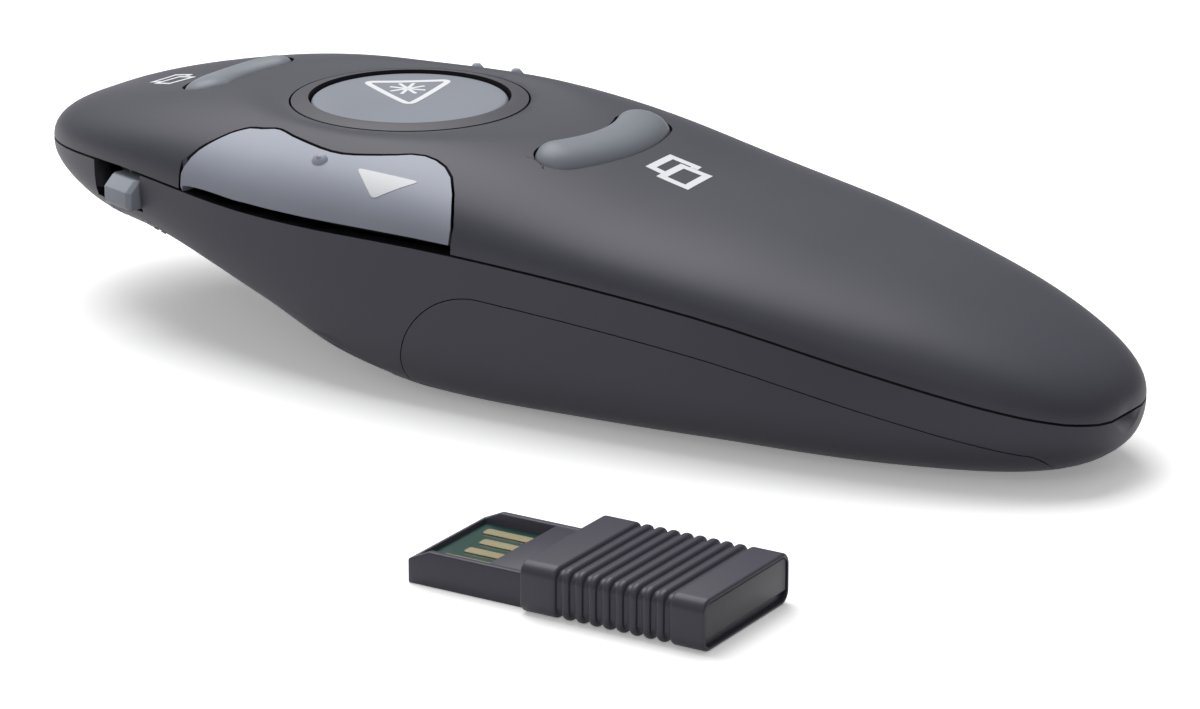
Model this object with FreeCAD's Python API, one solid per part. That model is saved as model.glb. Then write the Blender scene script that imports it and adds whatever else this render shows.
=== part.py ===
import FreeCAD, Part
import math
import os

# Hand-held wireless presentation clicker with its USB receiver beside it, in millimetres.
# X runs from the laser nose (-X) to the tail (+X), Z is up, and the origin is on the flat
# underside at mid-length, so the clicker stands on z = 0 and so does the receiver.

os.makedirs("parts", exist_ok=True)
V = FreeCAD.Vector
X_AXIS, Y_AXIS, Z_AXIS = V(1, 0, 0), V(0, 1, 0), V(0, 0, 1)

# Housing form
body_length = 123.0
body_width = 42.5
seam_height = 16.2          # parting line between the two covers, at mid-length
crest_rise = 9.3            # top cover's height over the parting line, at the widest place
keel_drop = 16.75           # bottom cover's depth under the parting line, at the widest place
wall = 1.6
widest_share = 0.384        # where the plan is widest, from nose to tail
nose_curve, nose_round = 1.84, 2.64     # exponents of the plan's outline ahead of that place
tail_curve, tail_round = 1.56, 2.87     # and behind it
crest_power = 2.42          # how square the top cover's sections are
section_count = 22          # the housing is ruled between this many sections and one more
section_steps = 8           # straight facets in each quarter of a section
inner_section_count = 14    # the hidden skins are coarser
inner_section_steps = 3
end_share = 0.0012          # the covers end in small flats this share of the length inside
seam_shares = [(0, 0.979), (0.15, 1.062), (0.3, 1.007), (0.5, 0.996), (0.7, 0.868), (0.85, 0.651),
               (1, 0.389)]
crest_shares = [(0, 0.81), (0.12, 0.81), (0.25, 0.964), (0.38, 1.0), (0.5, 0.894), (0.63, 0.707),
                (0.76, 0.74), (0.88, 0.9), (1, 1.05)]
keel_shares = [(0, 0.31), (0.1, 0.53), (0.2, 0.512), (0.3, 0.646), (0.38, 0.862), (0.46, 0.986),
               (0.6, 0.995), (0.75, 0.958), (0.88, 0.9), (1, 0.86)]
keel_powers = [(0, 3.0), (0.2, 4.5), (0.45, 5.6), (0.7, 5.0), (0.9, 3.2), (1, 2.3)]

# Gaps and travels
seam_gap = 0.24             # open line between the covers
lip_rise = 1.1              # the bottom cover's inner lip over the parting line
lip_clearance = 0.05
key_clearance = 0.28        # open line round each key
running_gap = 0.3           # least gap kept from a moving piece
facet_sag = 0.3             # how far the coarse hidden skins lie inside their true curves, at most
press_travel = 0.4          # every key's stroke
cut_margin = 6.0            # overrun of every through cut

# Round laser button and its ring
button_x = -19.8
button_radius = 9.85
button_top = 24.1
button_skin = 1.5
button_skirt = 3.0
button_edge = 0.45
button_dish_radius = 8.6
button_dish_depth = 0.3
ring_inner = button_radius + key_clearance
ring_outer = 11.85
ring_groove = 0.22
ring_flange = 1.1
ring_flange_height = 0.9
ring_depth = 3.4

# Side keys, one on each flank between the ring and the parting line
side_key_front = -33.5
side_key_length = 33.2
side_key_gap = 0.95         # open line between a side key and the bottom cover's rim
side_key_shares = [(0.0, 0.935), (0.07, 0.85), (0.21, 0.716), (0.36, 0.762), (0.525, 0.80), (0.68, 0.756),
                   (0.79, 0.70), (0.895, 0.752), (0.965, 0.88), (1.0, 0.975)]
side_key_steps = 24         # straight runs in its outline
side_switch_share = 0.79    # where its switch stands along it, under its widest part
dot_radius = 0.55
near_dots = {"places": [-17.4], "share": 0.85, "height": 0.45}     # share: how far out on the flank
far_dots = {"places": [-23.8, -19.0], "share": 0.83, "height": 0.8}

# Arc keys: a rounded bar bent to an arc, ahead of and behind the ring
rear_arc = {"apex": 4.9, "bend": 18.5, "reach": 7.4, "half_width": 2.35, "proud": 1.05, "side": 1}
front_arc = {"apex": -42.2, "bend": 15.0, "reach": 5.2, "half_width": 1.9, "proud": 0.35, "side": -1}
arc_slot_end = 0.3         # extra slot past each end of an arc key
bar_shares = [(0, 0.2), (0.2, 0.7), (0.62, 1)]     # how the bar's top rounds over
arc_flange = 0.8
arc_flange_height = 0.5

# Main board and what stands on it
board_top = 17.5
board_thickness = 1.2
board_front = -46.8
board_rear = 10.5
board_gap = 0.5
tact_side = 3.0
tact_height = 2.0
button_tact_side = 6.0
button_tact_height = 3.1
stem_radius = 0.9
button_stem_radius = 1.7
stem_rise = 0.6
boss_radius = 1.5
side_tact_y = 15.7
chip_height = 0.9
radio_chip = {"x": -33.0, "y": 5.0, "length": 5.0, "width": 5.0}
controller_chip = {"x": -3.0, "y": 3.5, "length": 7.0, "width": 5.0}
crystal = {"x": -34.0, "y": -3.0, "length": 7.0, "width": 2.6, "height": 2.0}
capacitor = {"length": 1.6, "width": 0.8, "height": 0.8, "x": -30.5, "y": -8.0, "pitch": 2.4, "count": 4}

# Laser module in the nose
laser_axis_height = 16.2
laser_radius = 3.0
laser_front = -53.4
laser_length = 6.2
laser_wall = 0.7
lens_radius = 1.9
lens_thickness = 1.2
lens_recess = 0.8
aperture_radius = 1.7
holder_length = 4.2
holder_gap = 0.04
diode_radius = 1.65
diode_length = 1.4
lead_radius = 0.22
lead_length = 1.9
lead_pitch = 0.9

# Power slide switch on the near flank
knob_x = -42.1
knob_length = 4.4
knob_low = 13.45
knob_high = 16.35
knob_proud = 1.3
knob_chamfer = 1.05
knob_depth = 2.2
knob_travel = 3.2
knob_shoe = 0.7
knob_shoe_thickness = 0.9
power_case_length = 8.4
power_case_depth = 3.4
power_case_height = 3.2
power_lever = 1.6

# Battery door under the rear half
door_front = -6.4
door_rear = 57.2
door_drop = 3.8             # its upper edge under the parting line
door_corner = 9.0
door_rear_corner = 1.4
door_gap = 0.1
hook_length = 1.5
hook_width = 2.4
hook_thickness = 1.0
hook_spacing = 5.0
latch_width = 9.0
latch_thickness = 1.1
latch_height = 5.2
latch_offset = 0.4
ledge_thickness = 1.2
thumb_groove_count = 3      # grip for the thumb that opens the door
thumb_groove_pitch = 1.2
thumb_groove_width = 0.6
thumb_groove_depth = 0.45
thumb_groove_length = 9.0
thumb_groove_x = -5.0

# Two AAA cells, their contacts, and the tray that holds them
cell_radius = 5.2
cell_length = 44.5
cell_nub_radius = 1.9
cell_nub_height = 0.9
cell_gap = 0.5
cell_front = 3.9
cell_floor_gap = 0.45
bulkhead = 1.2
tray_roof_thickness = 1.0
tray_roof_gap = 0.35
tray_gap = 0.06
contact_thickness = 0.35
contact_width = 7.0
contact_height = 7.0
leaf_reach = 2.0
rail_thickness = 1.0
rail_depth = 3.0

# Screws that hold the tray to the top cover
screw_x = 13.0
screw_y = 14.6
screw_radius = 0.9
screw_head_radius = 1.7
screw_head_height = 1.3
screw_slot_width = 0.5
screw_slot_share = 0.7      # its length, as a share of the head
screw_slot_depth = 0.6
screw_length = 5.0
screw_boss_radius = 2.2
screw_hole_gap = 0.1

# USB receiver lying on the table beside the clicker
receiver_x, receiver_y = 22.2, -52.3
receiver_turn = 2.54        # degrees about Z
receiver_length = 30.4
grip_width = 14.6
grip_thickness = 4.7
plug_length = 12.2
plug_width = 12.1
plug_thickness = 3.2
plug_wall = 0.7
plug_floor = 1.1
plug_bevel_height = 1.0
plug_bevel_length = 2.2
grip_corner = 0.8
groove_count = 9
groove_pitch = 1.33
groove_width = 0.55
groove_depth = 0.35
groove_start = 3.6
end_recess = 0.5
end_rim = 0.7
end_slot_height = 0.7
end_slot_depth = 0.8
receiver_board_thickness = 0.9
receiver_board_length = 24.0
gold_strip_count = 4
outer_strip_share = 0.5     # how far along the bevel the outer two start
gold_strip_length = 7.2
gold_strip_width = 1.2
gold_strip_pitch = 2.35
gold_strip_height = 0.12
receiver_chip_length = 7.0
receiver_chip_height = 1.0

half_length = body_length / 2
half_width = body_width / 2


def interpolate(table, at):
    """Smooth value at a place of a table of (place, value) rows."""
    rows = len(table)
    k = max(i for i in range(rows - 1) if i == 0 or table[i][0] <= at)
    (x0, y0), (x1, y1) = table[k], table[k + 1]
    before = table[k - 1] if k > 0 else table[k]
    after = table[k + 2] if k + 2 < rows else table[k + 1]
    span = x1 - x0
    t = min(max((at - x0) / span, 0), 1)
    m0 = (y1 - before[1]) / (x1 - before[0]) * span
    m1 = (after[1] - y0) / (after[0] - x0) * span
    return ((2 * t**3 - 3 * t**2 + 1) * y0 + (t**3 - 2 * t**2 + t) * m0
            + (3 * t**2 - 2 * t**3) * y1 + (t**3 - t**2) * m1)


def fullness(share):
    """Half width at a share of the length, as a share of the widest."""
    if share < widest_share:
        t = (widest_share - share) / widest_share
        return max(1 - t**nose_curve, 0) ** (1 / nose_round)
    t = (share - widest_share) / (1 - widest_share)
    return max(1 - t**tail_curve, 0) ** (1 / tail_round)


def share_at(x, inset=0.0):
    return min(max((x + half_length - inset) / (body_length - 2 * inset), 0), 1)


def seam_z(x):
    return seam_height * interpolate(seam_shares, share_at(x))


def section_sizes(x, inset=0.0):
    """Half width, rise and drop of the skin that lies inset inside the outer one."""
    share = share_at(x, inset)
    full = fullness(share)
    rise = crest_rise * interpolate(crest_shares, share) - inset
    drop = keel_drop * interpolate(keel_shares, share) - inset
    return (half_width - inset) * full, rise * full, drop * full


def skin_top(x, y, inset=0.0):
    """Height of the top cover's skin over a point of the plan."""
    width, rise, drop = section_sizes(x, inset)
    across = min(abs(y) / width, 1)
    return seam_z(x) + rise * (1 - across**crest_power) ** (1 / crest_power)


def skin_bottom(x, y, inset=0.0):
    width, rise, drop = section_sizes(x, inset)
    power = interpolate(keel_powers, share_at(x, inset))
    across = min(abs(y) / width, 1)
    return seam_z(x) - drop * (1 - across**power) ** (1 / power)


def stations(reach, count):
    """Places along the body, crowded towards both ends."""
    shares = [(1 - math.cos(math.pi * k / count)) / 2 for k in range(count + 1)]
    return [reach * (2 * min(max(share, end_share), 1 - end_share) - 1) for share in shares]


def section_points(x, inset, steps):
    """One section of a skin, as corners that crowd where it turns."""
    width, rise, drop = section_sizes(x, inset)
    keel_power = interpolate(keel_powers, share_at(x, inset))
    quarters = [(1, rise, crest_power), (-1, rise, crest_power),
                (-1, -drop, keel_power), (1, -drop, keel_power)]
    points = []
    for quarter, (side, height, power) in enumerate(quarters):
        for k in range(steps):
            angle = math.pi / 2 * (k / steps if quarter % 2 == 0 else 1 - k / steps)
            out, up = math.cos(angle) ** (2 / power), math.sin(angle) ** (2 / power)
            points.append(V(x, side * width * out, seam_z(x) + height * up))
    return points


def flat_face(corners):
    return Part.Face(Part.makePolygon(corners + corners[:1]))


def skin(inset=0.0):
    """Closed solid inside one skin of the housing, in flat facets between close sections."""
    count, steps = (inner_section_count, inner_section_steps) if inset else (section_count, section_steps)
    rings = [section_points(x, inset, steps) for x in stations(half_length - inset, count)]
    faces = [flat_face(rings[0]), flat_face(rings[-1])]
    for ring, following in zip(rings, rings[1:]):
        for k in range(len(ring)):
            a, b, c, d = ring[k - 1], ring[k], following[k], following[k - 1]
            odd_quarter = (k - 1) % len(ring) // steps % 2
            split = ([a, b, c], [a, c, d]) if odd_quarter else ([a, b, d], [b, c, d])
            faces += [flat_face(corners) for corners in split]
    shell = Part.makeShell(faces)
    shell.sewShape()
    return Part.makeSolid(shell)


def box(x, y, z):
    """Box from three (low, high) pairs."""
    return Part.makeBox(x[1] - x[0], y[1] - y[0], z[1] - z[0], V(x[0], y[0], z[0]))


def about(middle, size):
    return (middle - size / 2, middle + size / 2)


def upright(radius, x, y, z):
    return Part.makeCylinder(radius, z[1] - z[0], V(x, y, z[0]), Z_AXIS)


def along_x(radius, x, y, z):
    return Part.makeCylinder(radius, x[1] - x[0], V(x[0], y, z), X_AXIS)


def prism(wire, z):
    """Upright prism over a flat closed wire that lies at z = 0."""
    face = Part.Face(wire)
    face.translate(V(0, 0, z[0]))
    return face.extrude(V(0, 0, z[1] - z[0]))


def side_profile(upper, low):
    """Solid under a line of the side view, right across the body."""
    points = [V(x, -body_width, z) for x, z in upper + [(upper[-1][0], low), (upper[0][0], low)]]
    return Part.Face(Part.makePolygon(points + points[:1])).extrude(V(0, 2 * body_width, 0))


def under_seam(rise):
    """Everything below the parting line lifted by rise."""
    reach = half_length + cut_margin
    places = [-reach] + stations(half_length, 2 * section_count) + [reach]
    return side_profile([(x, seam_z(x) + rise) for x in places], -cut_margin)


def save(name, shape):
    shape = shape.removeSplitter()
    shape.exportStep("parts/" + name + ".step")
    return shape


# Outlines in plan of the openings and the keys

def side_key_wire(side, grow=0.0):
    """Outline of a side key: its lower edge runs out past the flank."""
    points = []
    for k in range(side_key_steps + 1):
        x = side_key_front + side_key_length * k / side_key_steps
        out = interpolate(side_key_shares, k / side_key_steps)
        points.append(V(x, side * section_sizes(x)[0] * out, 0))
    moved = []
    for k, point in enumerate(points):
        run = points[min(k + 1, len(points) - 1)] - points[max(k - 1, 0)]
        run.normalize()
        moved.append(point + V(side * run.y, -side * run.x, 0) * grow)
    moved[0].x, moved[-1].x = side_key_front - grow, side_key_front + side_key_length + grow
    outside = side * (half_width + cut_margin)
    corners = [V(moved[-1].x, outside, 0), V(moved[0].x, outside, 0)]
    return Part.makePolygon(moved + corners + moved[:1])


def side_switch_x():
    return side_key_front + side_key_length * side_switch_share


def arc_places(arc):
    """Centre of the bend, half angle, and the end centres of an arc key."""
    centre_x = arc["apex"] - arc["side"] * arc["bend"]
    half_angle = math.asin(arc["reach"] / arc["bend"])
    end_x = centre_x + arc["side"] * arc["bend"] * math.cos(half_angle)
    return centre_x, half_angle, end_x


def arc_wire(arc, grow=0.0, longer=0.0):
    """Outline of an arc key in plan, a bent slot with round ends."""
    centre_x, half_angle, end_x = arc_places(arc)
    half_angle += longer / arc["bend"]
    half_width_here = arc["half_width"] + grow

    def at(radius, angle):
        return V(centre_x + arc["side"] * radius * math.cos(angle), radius * math.sin(angle), 0)

    outer, inner = arc["bend"] + half_width_here, arc["bend"] - half_width_here
    tip = half_angle + half_width_here / arc["bend"]
    edges = [Part.Arc(at(outer, -half_angle), at(outer, 0), at(outer, half_angle)),
             Part.Arc(at(outer, half_angle), at(arc["bend"], tip), at(inner, half_angle)),
             Part.Arc(at(inner, half_angle), at(inner, 0), at(inner, -half_angle)),
             Part.Arc(at(inner, -half_angle), at(arc["bend"], -tip), at(outer, -half_angle))]
    return Part.Wire([edge.toShape() for edge in edges])


def door_profile(inset=0.0):
    """Side view of the battery door, shrunk by inset all round."""
    front, rear = door_front + inset, door_rear - inset
    corner, rear_corner = door_corner - inset, door_rear_corner
    top_start, top_end = front + corner, rear - rear_corner

    def edge_z(x):
        return seam_z(x) - door_drop - inset

    steps = section_count // 2
    places = [top_start + (top_end - top_start) * k / steps for k in range(steps + 1)]
    upper = Part.makePolygon([V(x, -body_width, edge_z(x)) for x in places])
    tilt = math.sqrt(0.5)
    low = -cut_margin
    front_arc_low, front_arc_high = edge_z(top_start) - corner, edge_z(top_start)
    rear_low, rear_high = edge_z(top_end) - rear_corner, edge_z(top_end)
    front_mid = V(top_start - corner * tilt, -body_width, front_arc_low + corner * tilt)
    rear_mid = V(top_end + rear_corner * tilt, -body_width, rear_low + rear_corner * tilt)
    start, end = V(top_start, -body_width, front_arc_high), V(top_end, -body_width, rear_high)
    front_foot, rear_foot = V(front, -body_width, front_arc_low), V(rear, -body_width, rear_low)
    corners = [V(rear, -body_width, low), V(front, -body_width, low)]
    floor = Part.makePolygon([rear_foot] + corners + [front_foot])
    wire = Part.Wire([Part.Arc(front_foot, front_mid, start).toShape()] + upper.Edges
                     + [Part.Arc(end, rear_mid, rear_foot).toShape()] + floor.Edges)
    return Part.Face(wire).extrude(V(0, 2 * body_width, 0))


# Skins shared by the covers, the keys, the door and the tray

outer_skin = skin()
inner_skin = skin(wall)
middle_skin = skin(wall / 2)
fit_skin = skin(wall + tray_gap)
board_skin = skin(wall + board_gap)
floor_box = box((-body_length, body_length), (-body_width, body_width), (-body_width, 0))
outer_skin = outer_skin.cut(floor_box)
above = (-cut_margin, seam_height + crest_rise + cut_margin)
tall = (seam_height, above[1])


def plan_slope(x):
    """Slope of the plan's outline, for what lies along the flank."""
    step = wall / 4
    return (section_sizes(x + step)[0] - section_sizes(x - step)[0]) / (2 * step)


knob_turn = -math.degrees(math.atan(plan_slope(knob_x)))
knob_y = -section_sizes(knob_x)[0]


def at_knob(shape):
    """Places a shape drawn along X at the knob, turned to the flank there."""
    shape.rotate(V(0, 0, 0), Z_AXIS, knob_turn)
    shape.translate(V(knob_x, knob_y, 0))
    return shape


def knob_shoe_y():
    """The shoe's two faces, measured inwards from the flank."""
    start = wall + 2 * running_gap + facet_sag
    return start, start + knob_shoe_thickness


def knob_slot():
    """Notch in the bottom cover's rim that the knob slides in."""
    low = -knob_length / 2 - knob_travel - key_clearance
    high = knob_length / 2 + key_clearance
    depth = knob_shoe_y()[1] + key_clearance
    notch = box((low, high), (-depth, depth), (knob_low - key_clearance, seam_height + lip_rise * 2))
    return at_knob(notch)


def laser_bore(radius, x):
    return along_x(radius, x, 0, laser_axis_height)


# Covers

def screw_places():
    return [(screw_x, side * screw_y) for side in (1, -1)]


def top_cover():
    cover = outer_skin.cut(under_seam(seam_gap / 2)).cut(inner_skin)
    cutters = [middle_skin.common(under_seam(lip_rise + running_gap)),
               upright(ring_outer + ring_groove, button_x, 0, tall),
               laser_bore(aperture_radius, (-half_length - cut_margin, laser_front))]
    cutters += [prism(side_key_wire(side, key_clearance), tall) for side in (1, -1)]
    cutters += [prism(arc_wire(arc, key_clearance, arc_slot_end), tall) for arc in (front_arc, rear_arc)]
    cover = cover.cut(cutters)
    foot = (tray_roof_top(), tray_roof_top() + crest_rise)
    bosses = [upright(screw_boss_radius, x, y, foot).common(inner_skin) for x, y in screw_places()]
    holes = [upright(screw_radius, x, y, (foot[0], foot[0] + screw_length)) for x, y in screw_places()]
    return cover.fuse(bosses).cut(holes)


def door_ledge():
    """Step of the bottom cover that the door's front end lies over, open for the latch tongue."""
    start, end = door_front - ledge_thickness, tray_front() - tray_gap
    room = skin(wall + running_gap)
    span = box((start, end), (-half_width, half_width), (0, seam_height))
    ledge = room.cut(skin(wall + running_gap + ledge_thickness)).common(span)
    web = skin(wall / 2).common(box((start, door_front), (-half_width, half_width), (0, seam_height)))
    top = under_seam(-door_drop + ledge_thickness)
    latch_room = box((door_front, door_front + 2 * running_gap + latch_offset + latch_thickness),
                     about(0, latch_width + 2 * latch_offset), (0, seam_height))
    return web.fuse(ledge.cut(latch_room)).common(top)


def bottom_cover():
    cover = outer_skin.common(under_seam(-seam_gap / 2)).cut(inner_skin)
    lip = skin(wall / 2 + lip_clearance).cut(inner_skin)
    lip = lip.common(under_seam(lip_rise)).cut(under_seam(-wall))
    lip = lip.cut([prism(side_key_wire(side, running_gap * 2), above) for side in (1, -1)])
    cover = cover.fuse(lip)
    cover = cover.cut([door_profile(), knob_slot(),
                       laser_bore(aperture_radius, (-half_length - cut_margin, laser_front))])
    return cover.fuse(door_ledge())


# Keys

def side_key(side):
    """One flank key, cut from the housing's own skin, with a boss that presses its switch."""
    blank = outer_skin.cut(under_seam(side_key_gap)).cut(inner_skin)
    key = blank.common(prism(side_key_wire(side), above))
    stem_top = board_top + tact_height + stem_rise
    boss = upright(boss_radius, side_switch_x(), side * side_tact_y, (stem_top, stem_top + crest_rise))
    boss = boss.common(inner_skin).common(prism(side_key_wire(side, -key_clearance), above))
    key = key.fuse(boss)
    dots = near_dots if side < 0 else far_dots
    for x in dots["places"]:
        y = side * section_sizes(x)[0] * dots["share"]
        key = key.fuse(Part.makeCone(dot_radius, dot_radius / 2, dot_radius + dots["height"],
                                     V(x, y, skin_top(x, y) - dot_radius), Z_AXIS))
    return key


def arc_key(arc):
    """Rounded bar bent to an arc, on a flange under the cover."""
    centre_x, half_angle, end_x = arc_places(arc)
    top = skin_top(end_x, arc["reach"]) + arc["proud"]
    cover_low = min(skin_top(end_x, arc["reach"] + arc["half_width"] + arc_flange, wall),
                    skin_top(arc["apex"] + arc["side"] * arc["half_width"], 0, wall))
    flange_top = cover_low - running_gap - facet_sag
    side_top = top - arc["half_width"] * (1 - bar_shares[0][1])
    key = prism(arc_wire(arc), (flange_top, side_top))
    for (low_in, low_up), (high_in, high_up) in zip(bar_shares, bar_shares[1:]):
        wires = []
        for inward, up in ((low_in, low_up), (high_in, high_up)):
            wire = arc_wire(arc, -arc["half_width"] * inward)
            wire.translate(V(0, 0, top - arc["half_width"] * (1 - up)))
            wires.append(wire)
        key = key.fuse(Part.makeLoft(wires, True, True))
    flange = prism(arc_wire(arc, arc_flange, arc_slot_end), (flange_top - arc_flange_height, flange_top))
    stem_top = board_top + tact_height + stem_rise
    boss = upright(boss_radius, arc["apex"], 0, (stem_top, flange_top))
    return key.fuse([flange, boss])


def laser_button():
    """Round button with a shallow dish, a skirt and a boss."""
    skirt_z = (button_top - button_skirt, button_top)
    cap = upright(button_radius, button_x, 0, skirt_z)
    rim = [e for e in cap.Edges if e.Closed and e.BoundBox.ZMin > button_top - button_edge]
    cap = cap.makeChamfer(button_edge, rim)
    cap = cap.cut(upright(button_radius - button_skin, button_x, 0, (skirt_z[0], button_top - button_skin)))
    dish = Part.makeCone(button_dish_radius / 3, button_dish_radius, button_dish_depth,
                         V(button_x, 0, button_top - button_dish_depth), Z_AXIS)
    cap = cap.cut(dish)
    stem_top = board_top + button_tact_height + stem_rise
    boss = upright(boss_radius * 2, button_x, 0, (stem_top, button_top - button_skin))
    return cap.fuse(boss)


def button_bezel():
    """Ring round the button, level with the housing's skin, on a flange under the cover."""
    ring_z = (button_top - ring_depth, above[1])
    ring = upright(ring_outer, button_x, 0, ring_z).cut(upright(ring_inner, button_x, 0, ring_z))
    ring = ring.common(outer_skin)
    flange_z = (button_top - ring_depth, above[1])
    flange = upright(ring_outer + ring_flange, button_x, 0, flange_z)
    flange = flange.cut(upright(ring_inner, button_x, 0, flange_z)).common(inner_skin)
    return ring.fuse(flange)


# Switches and the board

def key_switches():
    """Place, case side and case height of the switch under each key."""
    side_x = side_switch_x()
    return {"laser_button": (button_x, 0, button_tact_side, button_tact_height, button_stem_radius),
            "next_key": (side_x, -side_tact_y, tact_side, tact_height, stem_radius),
            "previous_key": (side_x, side_tact_y, tact_side, tact_height, stem_radius),
            "front_key": (front_arc["apex"], 0, tact_side, tact_height, stem_radius),
            "rear_key": (rear_arc["apex"], 0, tact_side, tact_height, stem_radius)}


def switch_case(x, y, side, height, radius):
    """Case with a blind well that its stem runs in."""
    case = box(about(x, side), about(y, side), (board_top, board_top + height))
    well = upright(radius + running_gap / 3, x, y, (board_top + height - stem_rise, board_top + height))
    return case.cut(well)


def switch_stem(x, y, side, height, radius):
    """Stem from the key down into its case, with room for the stroke under it."""
    top = board_top + height
    return upright(radius, x, y, (top - stem_rise + press_travel + stem_rise / 6, top + stem_rise))


def on_board(part, height):
    return box(about(part["x"], part["length"]), about(part["y"], part["width"]),
               (board_top, board_top + height))


def main_board():
    board = board_skin.common(box((board_front, board_rear), (-half_width, half_width),
                                  (board_top - board_thickness, board_top)))
    barrel_room = box((board_front, laser_front + laser_length + diode_length + running_gap),
                      about(0, 2 * (laser_radius + running_gap)), above)
    return board.cut(barrel_room)


def capacitors():
    part = capacitor
    solids = [box(about(part["x"] + k * part["pitch"], part["width"]), about(part["y"], part["length"]),
                  (board_top, board_top + part["height"])) for k in range(part["count"])]
    return Part.makeCompound(solids)


def crystal_can():
    can = on_board(crystal, crystal["height"])
    ends = [e for e in can.Edges if e.BoundBox.ZLength > crystal["height"] / 2]
    return can.makeChamfer(crystal["width"] / 3, ends)


# Laser module

def laser_barrel():
    rear = laser_front + laser_length
    barrel = laser_bore(laser_radius, (laser_front, rear))
    seat = laser_front + lens_recess
    barrel = barrel.cut(laser_bore(lens_radius, (laser_front, seat + lens_thickness)))
    return barrel.cut(laser_bore(lens_radius - laser_wall, (laser_front, rear)))


def laser_lens():
    seat = laser_front + lens_recess
    disc = laser_bore(lens_radius, (seat, seat + lens_thickness))
    front_rim = [e for e in disc.Edges if e.Closed and e.BoundBox.XMax < seat + lens_thickness / 2]
    return disc.makeChamfer(lens_thickness / 4, front_rim)


def laser_diode():
    rear = laser_front + laser_length
    solids = laser_bore(diode_radius, (rear, rear + diode_length))
    for k in (-1, 0, 1):
        lead = along_x(lead_radius, (rear + diode_length, rear + diode_length + lead_length),
                       k * lead_pitch, board_top - board_thickness - lead_radius)
        solids = solids.fuse(lead)
    return solids


def laser_holder():
    """Block that fills the nose round the barrel and clamps it between the covers."""
    x = (laser_front + lens_recess, laser_front + lens_recess + holder_length)
    block = fit_skin.common(box(x, about(0, 4 * laser_radius), above))
    return block.cut(laser_bore(laser_radius + holder_gap, x))


# Power switch

def power_knob():
    """Faceted knob on the flank, with a shoe behind the wall and under the board."""
    x = about(0, knob_length)
    outer_y, shoe_y = -knob_proud, knob_shoe_y()
    shoe_top = board_top - board_thickness - running_gap
    profile = [V(x[0], shoe_y[1], knob_low), V(x[0], outer_y + knob_chamfer / 3, knob_low),
               V(x[0], outer_y, knob_low + knob_chamfer / 3), V(x[0], outer_y, knob_high - knob_chamfer),
               V(x[0], outer_y + knob_chamfer, knob_high), V(x[0], wall, knob_high),
               V(x[0], wall, shoe_top), V(x[0], shoe_y[1], shoe_top)]
    knob = Part.Face(Part.makePolygon(profile + profile[:1])).extrude(V(knob_length, 0, 0))
    ends = [e for e in knob.Edges if e.BoundBox.YMax < 0 and e.BoundBox.XLength < wall / 4
            and e.BoundBox.ZLength > wall / 4]
    knob = knob.makeChamfer(knob_chamfer / 2.5, ends)
    shoe = box((x[0] - knob_shoe, x[1] + knob_shoe), shoe_y, ((knob_low + knob_high) / 2, shoe_top))
    return at_knob(knob.fuse(shoe))


def power_lever_bar():
    """Lever of the slide switch, in a socket of the knob."""
    y = (knob_shoe_y()[1], knob_shoe_y()[1] + knob_depth)
    lever = box(about(0, power_lever), y, about((knob_low + knob_high) / 2, power_lever))
    return at_knob(lever)


def power_switch_case():
    """Slide switch under the board's near edge, open to its lever."""
    y_low = knob_shoe_y()[1] + running_gap
    middle = (knob_low + knob_high) / 2
    x = about(-knob_travel / 2, power_case_length)
    case = box(x, (y_low, y_low + power_case_depth),
               (board_top - board_thickness - power_case_height, board_top - board_thickness))
    slot = box((-power_lever / 2 - knob_travel - running_gap, power_lever / 2 + running_gap),
               (y_low, y_low + knob_depth), about(middle, power_lever + 2 * running_gap))
    return at_knob(case.cut(slot))


# Battery door

def battery_door():
    """Curved door with two hinge hooks at its tail and a latch tongue at its front."""
    door = outer_skin.cut(inner_skin).common(door_profile(door_gap))
    front, rear = door_front + door_gap, door_rear - door_gap
    hook_z = skin_bottom(rear + hook_length, (hook_spacing + hook_width) / 2, wall) + running_gap + facet_sag
    foot_x = (rear - 2 * hook_length, rear - hook_length / 2)
    additions = []
    for side in (1, -1):
        y = about(side * hook_spacing / 2, hook_width)
        additions.append(box(foot_x, y, (skin_bottom(rear, 0, wall / 2), hook_z)))
        additions.append(box((foot_x[0], rear + hook_length), y, (hook_z, hook_z + hook_thickness)))
    tongue_x = front + latch_offset
    tongue = box((tongue_x, tongue_x + latch_thickness), about(0, latch_width), (wall / 2, wall + latch_height))
    door = door.fuse(additions + [tongue])
    grooves = []
    for k in range(thumb_groove_count):
        x = thumb_groove_x + k * thumb_groove_pitch
        grooves.append(box(about(x, thumb_groove_width), about(0, thumb_groove_length),
                           (-cut_margin, thumb_groove_depth)))
    return door.cut(grooves)


# Cells, contacts and tray

def cell_axis_z():
    return wall + cell_floor_gap + cell_radius


def cell_top():
    return cell_axis_z() + cell_radius


def cell_y(side):
    return side * (cell_radius + cell_gap / 2)


def cell(side):
    """One AAA cell; the two lie head to tail."""
    x, y, z = cell_front, cell_y(side), cell_axis_z()
    body_x = (x, x + cell_length - cell_nub_height)
    nub_x = (body_x[1], x + cell_length)
    can = along_x(cell_radius, body_x, y, z)
    rims = [e for e in can.Edges if e.Closed]
    can = can.makeChamfer(cell_radius / 12, rims)
    can = can.fuse(along_x(cell_nub_radius, nub_x, y, z))
    if side > 0:
        can = can.mirror(V(x + cell_length / 2, 0, 0), X_AXIS)
    return can


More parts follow.
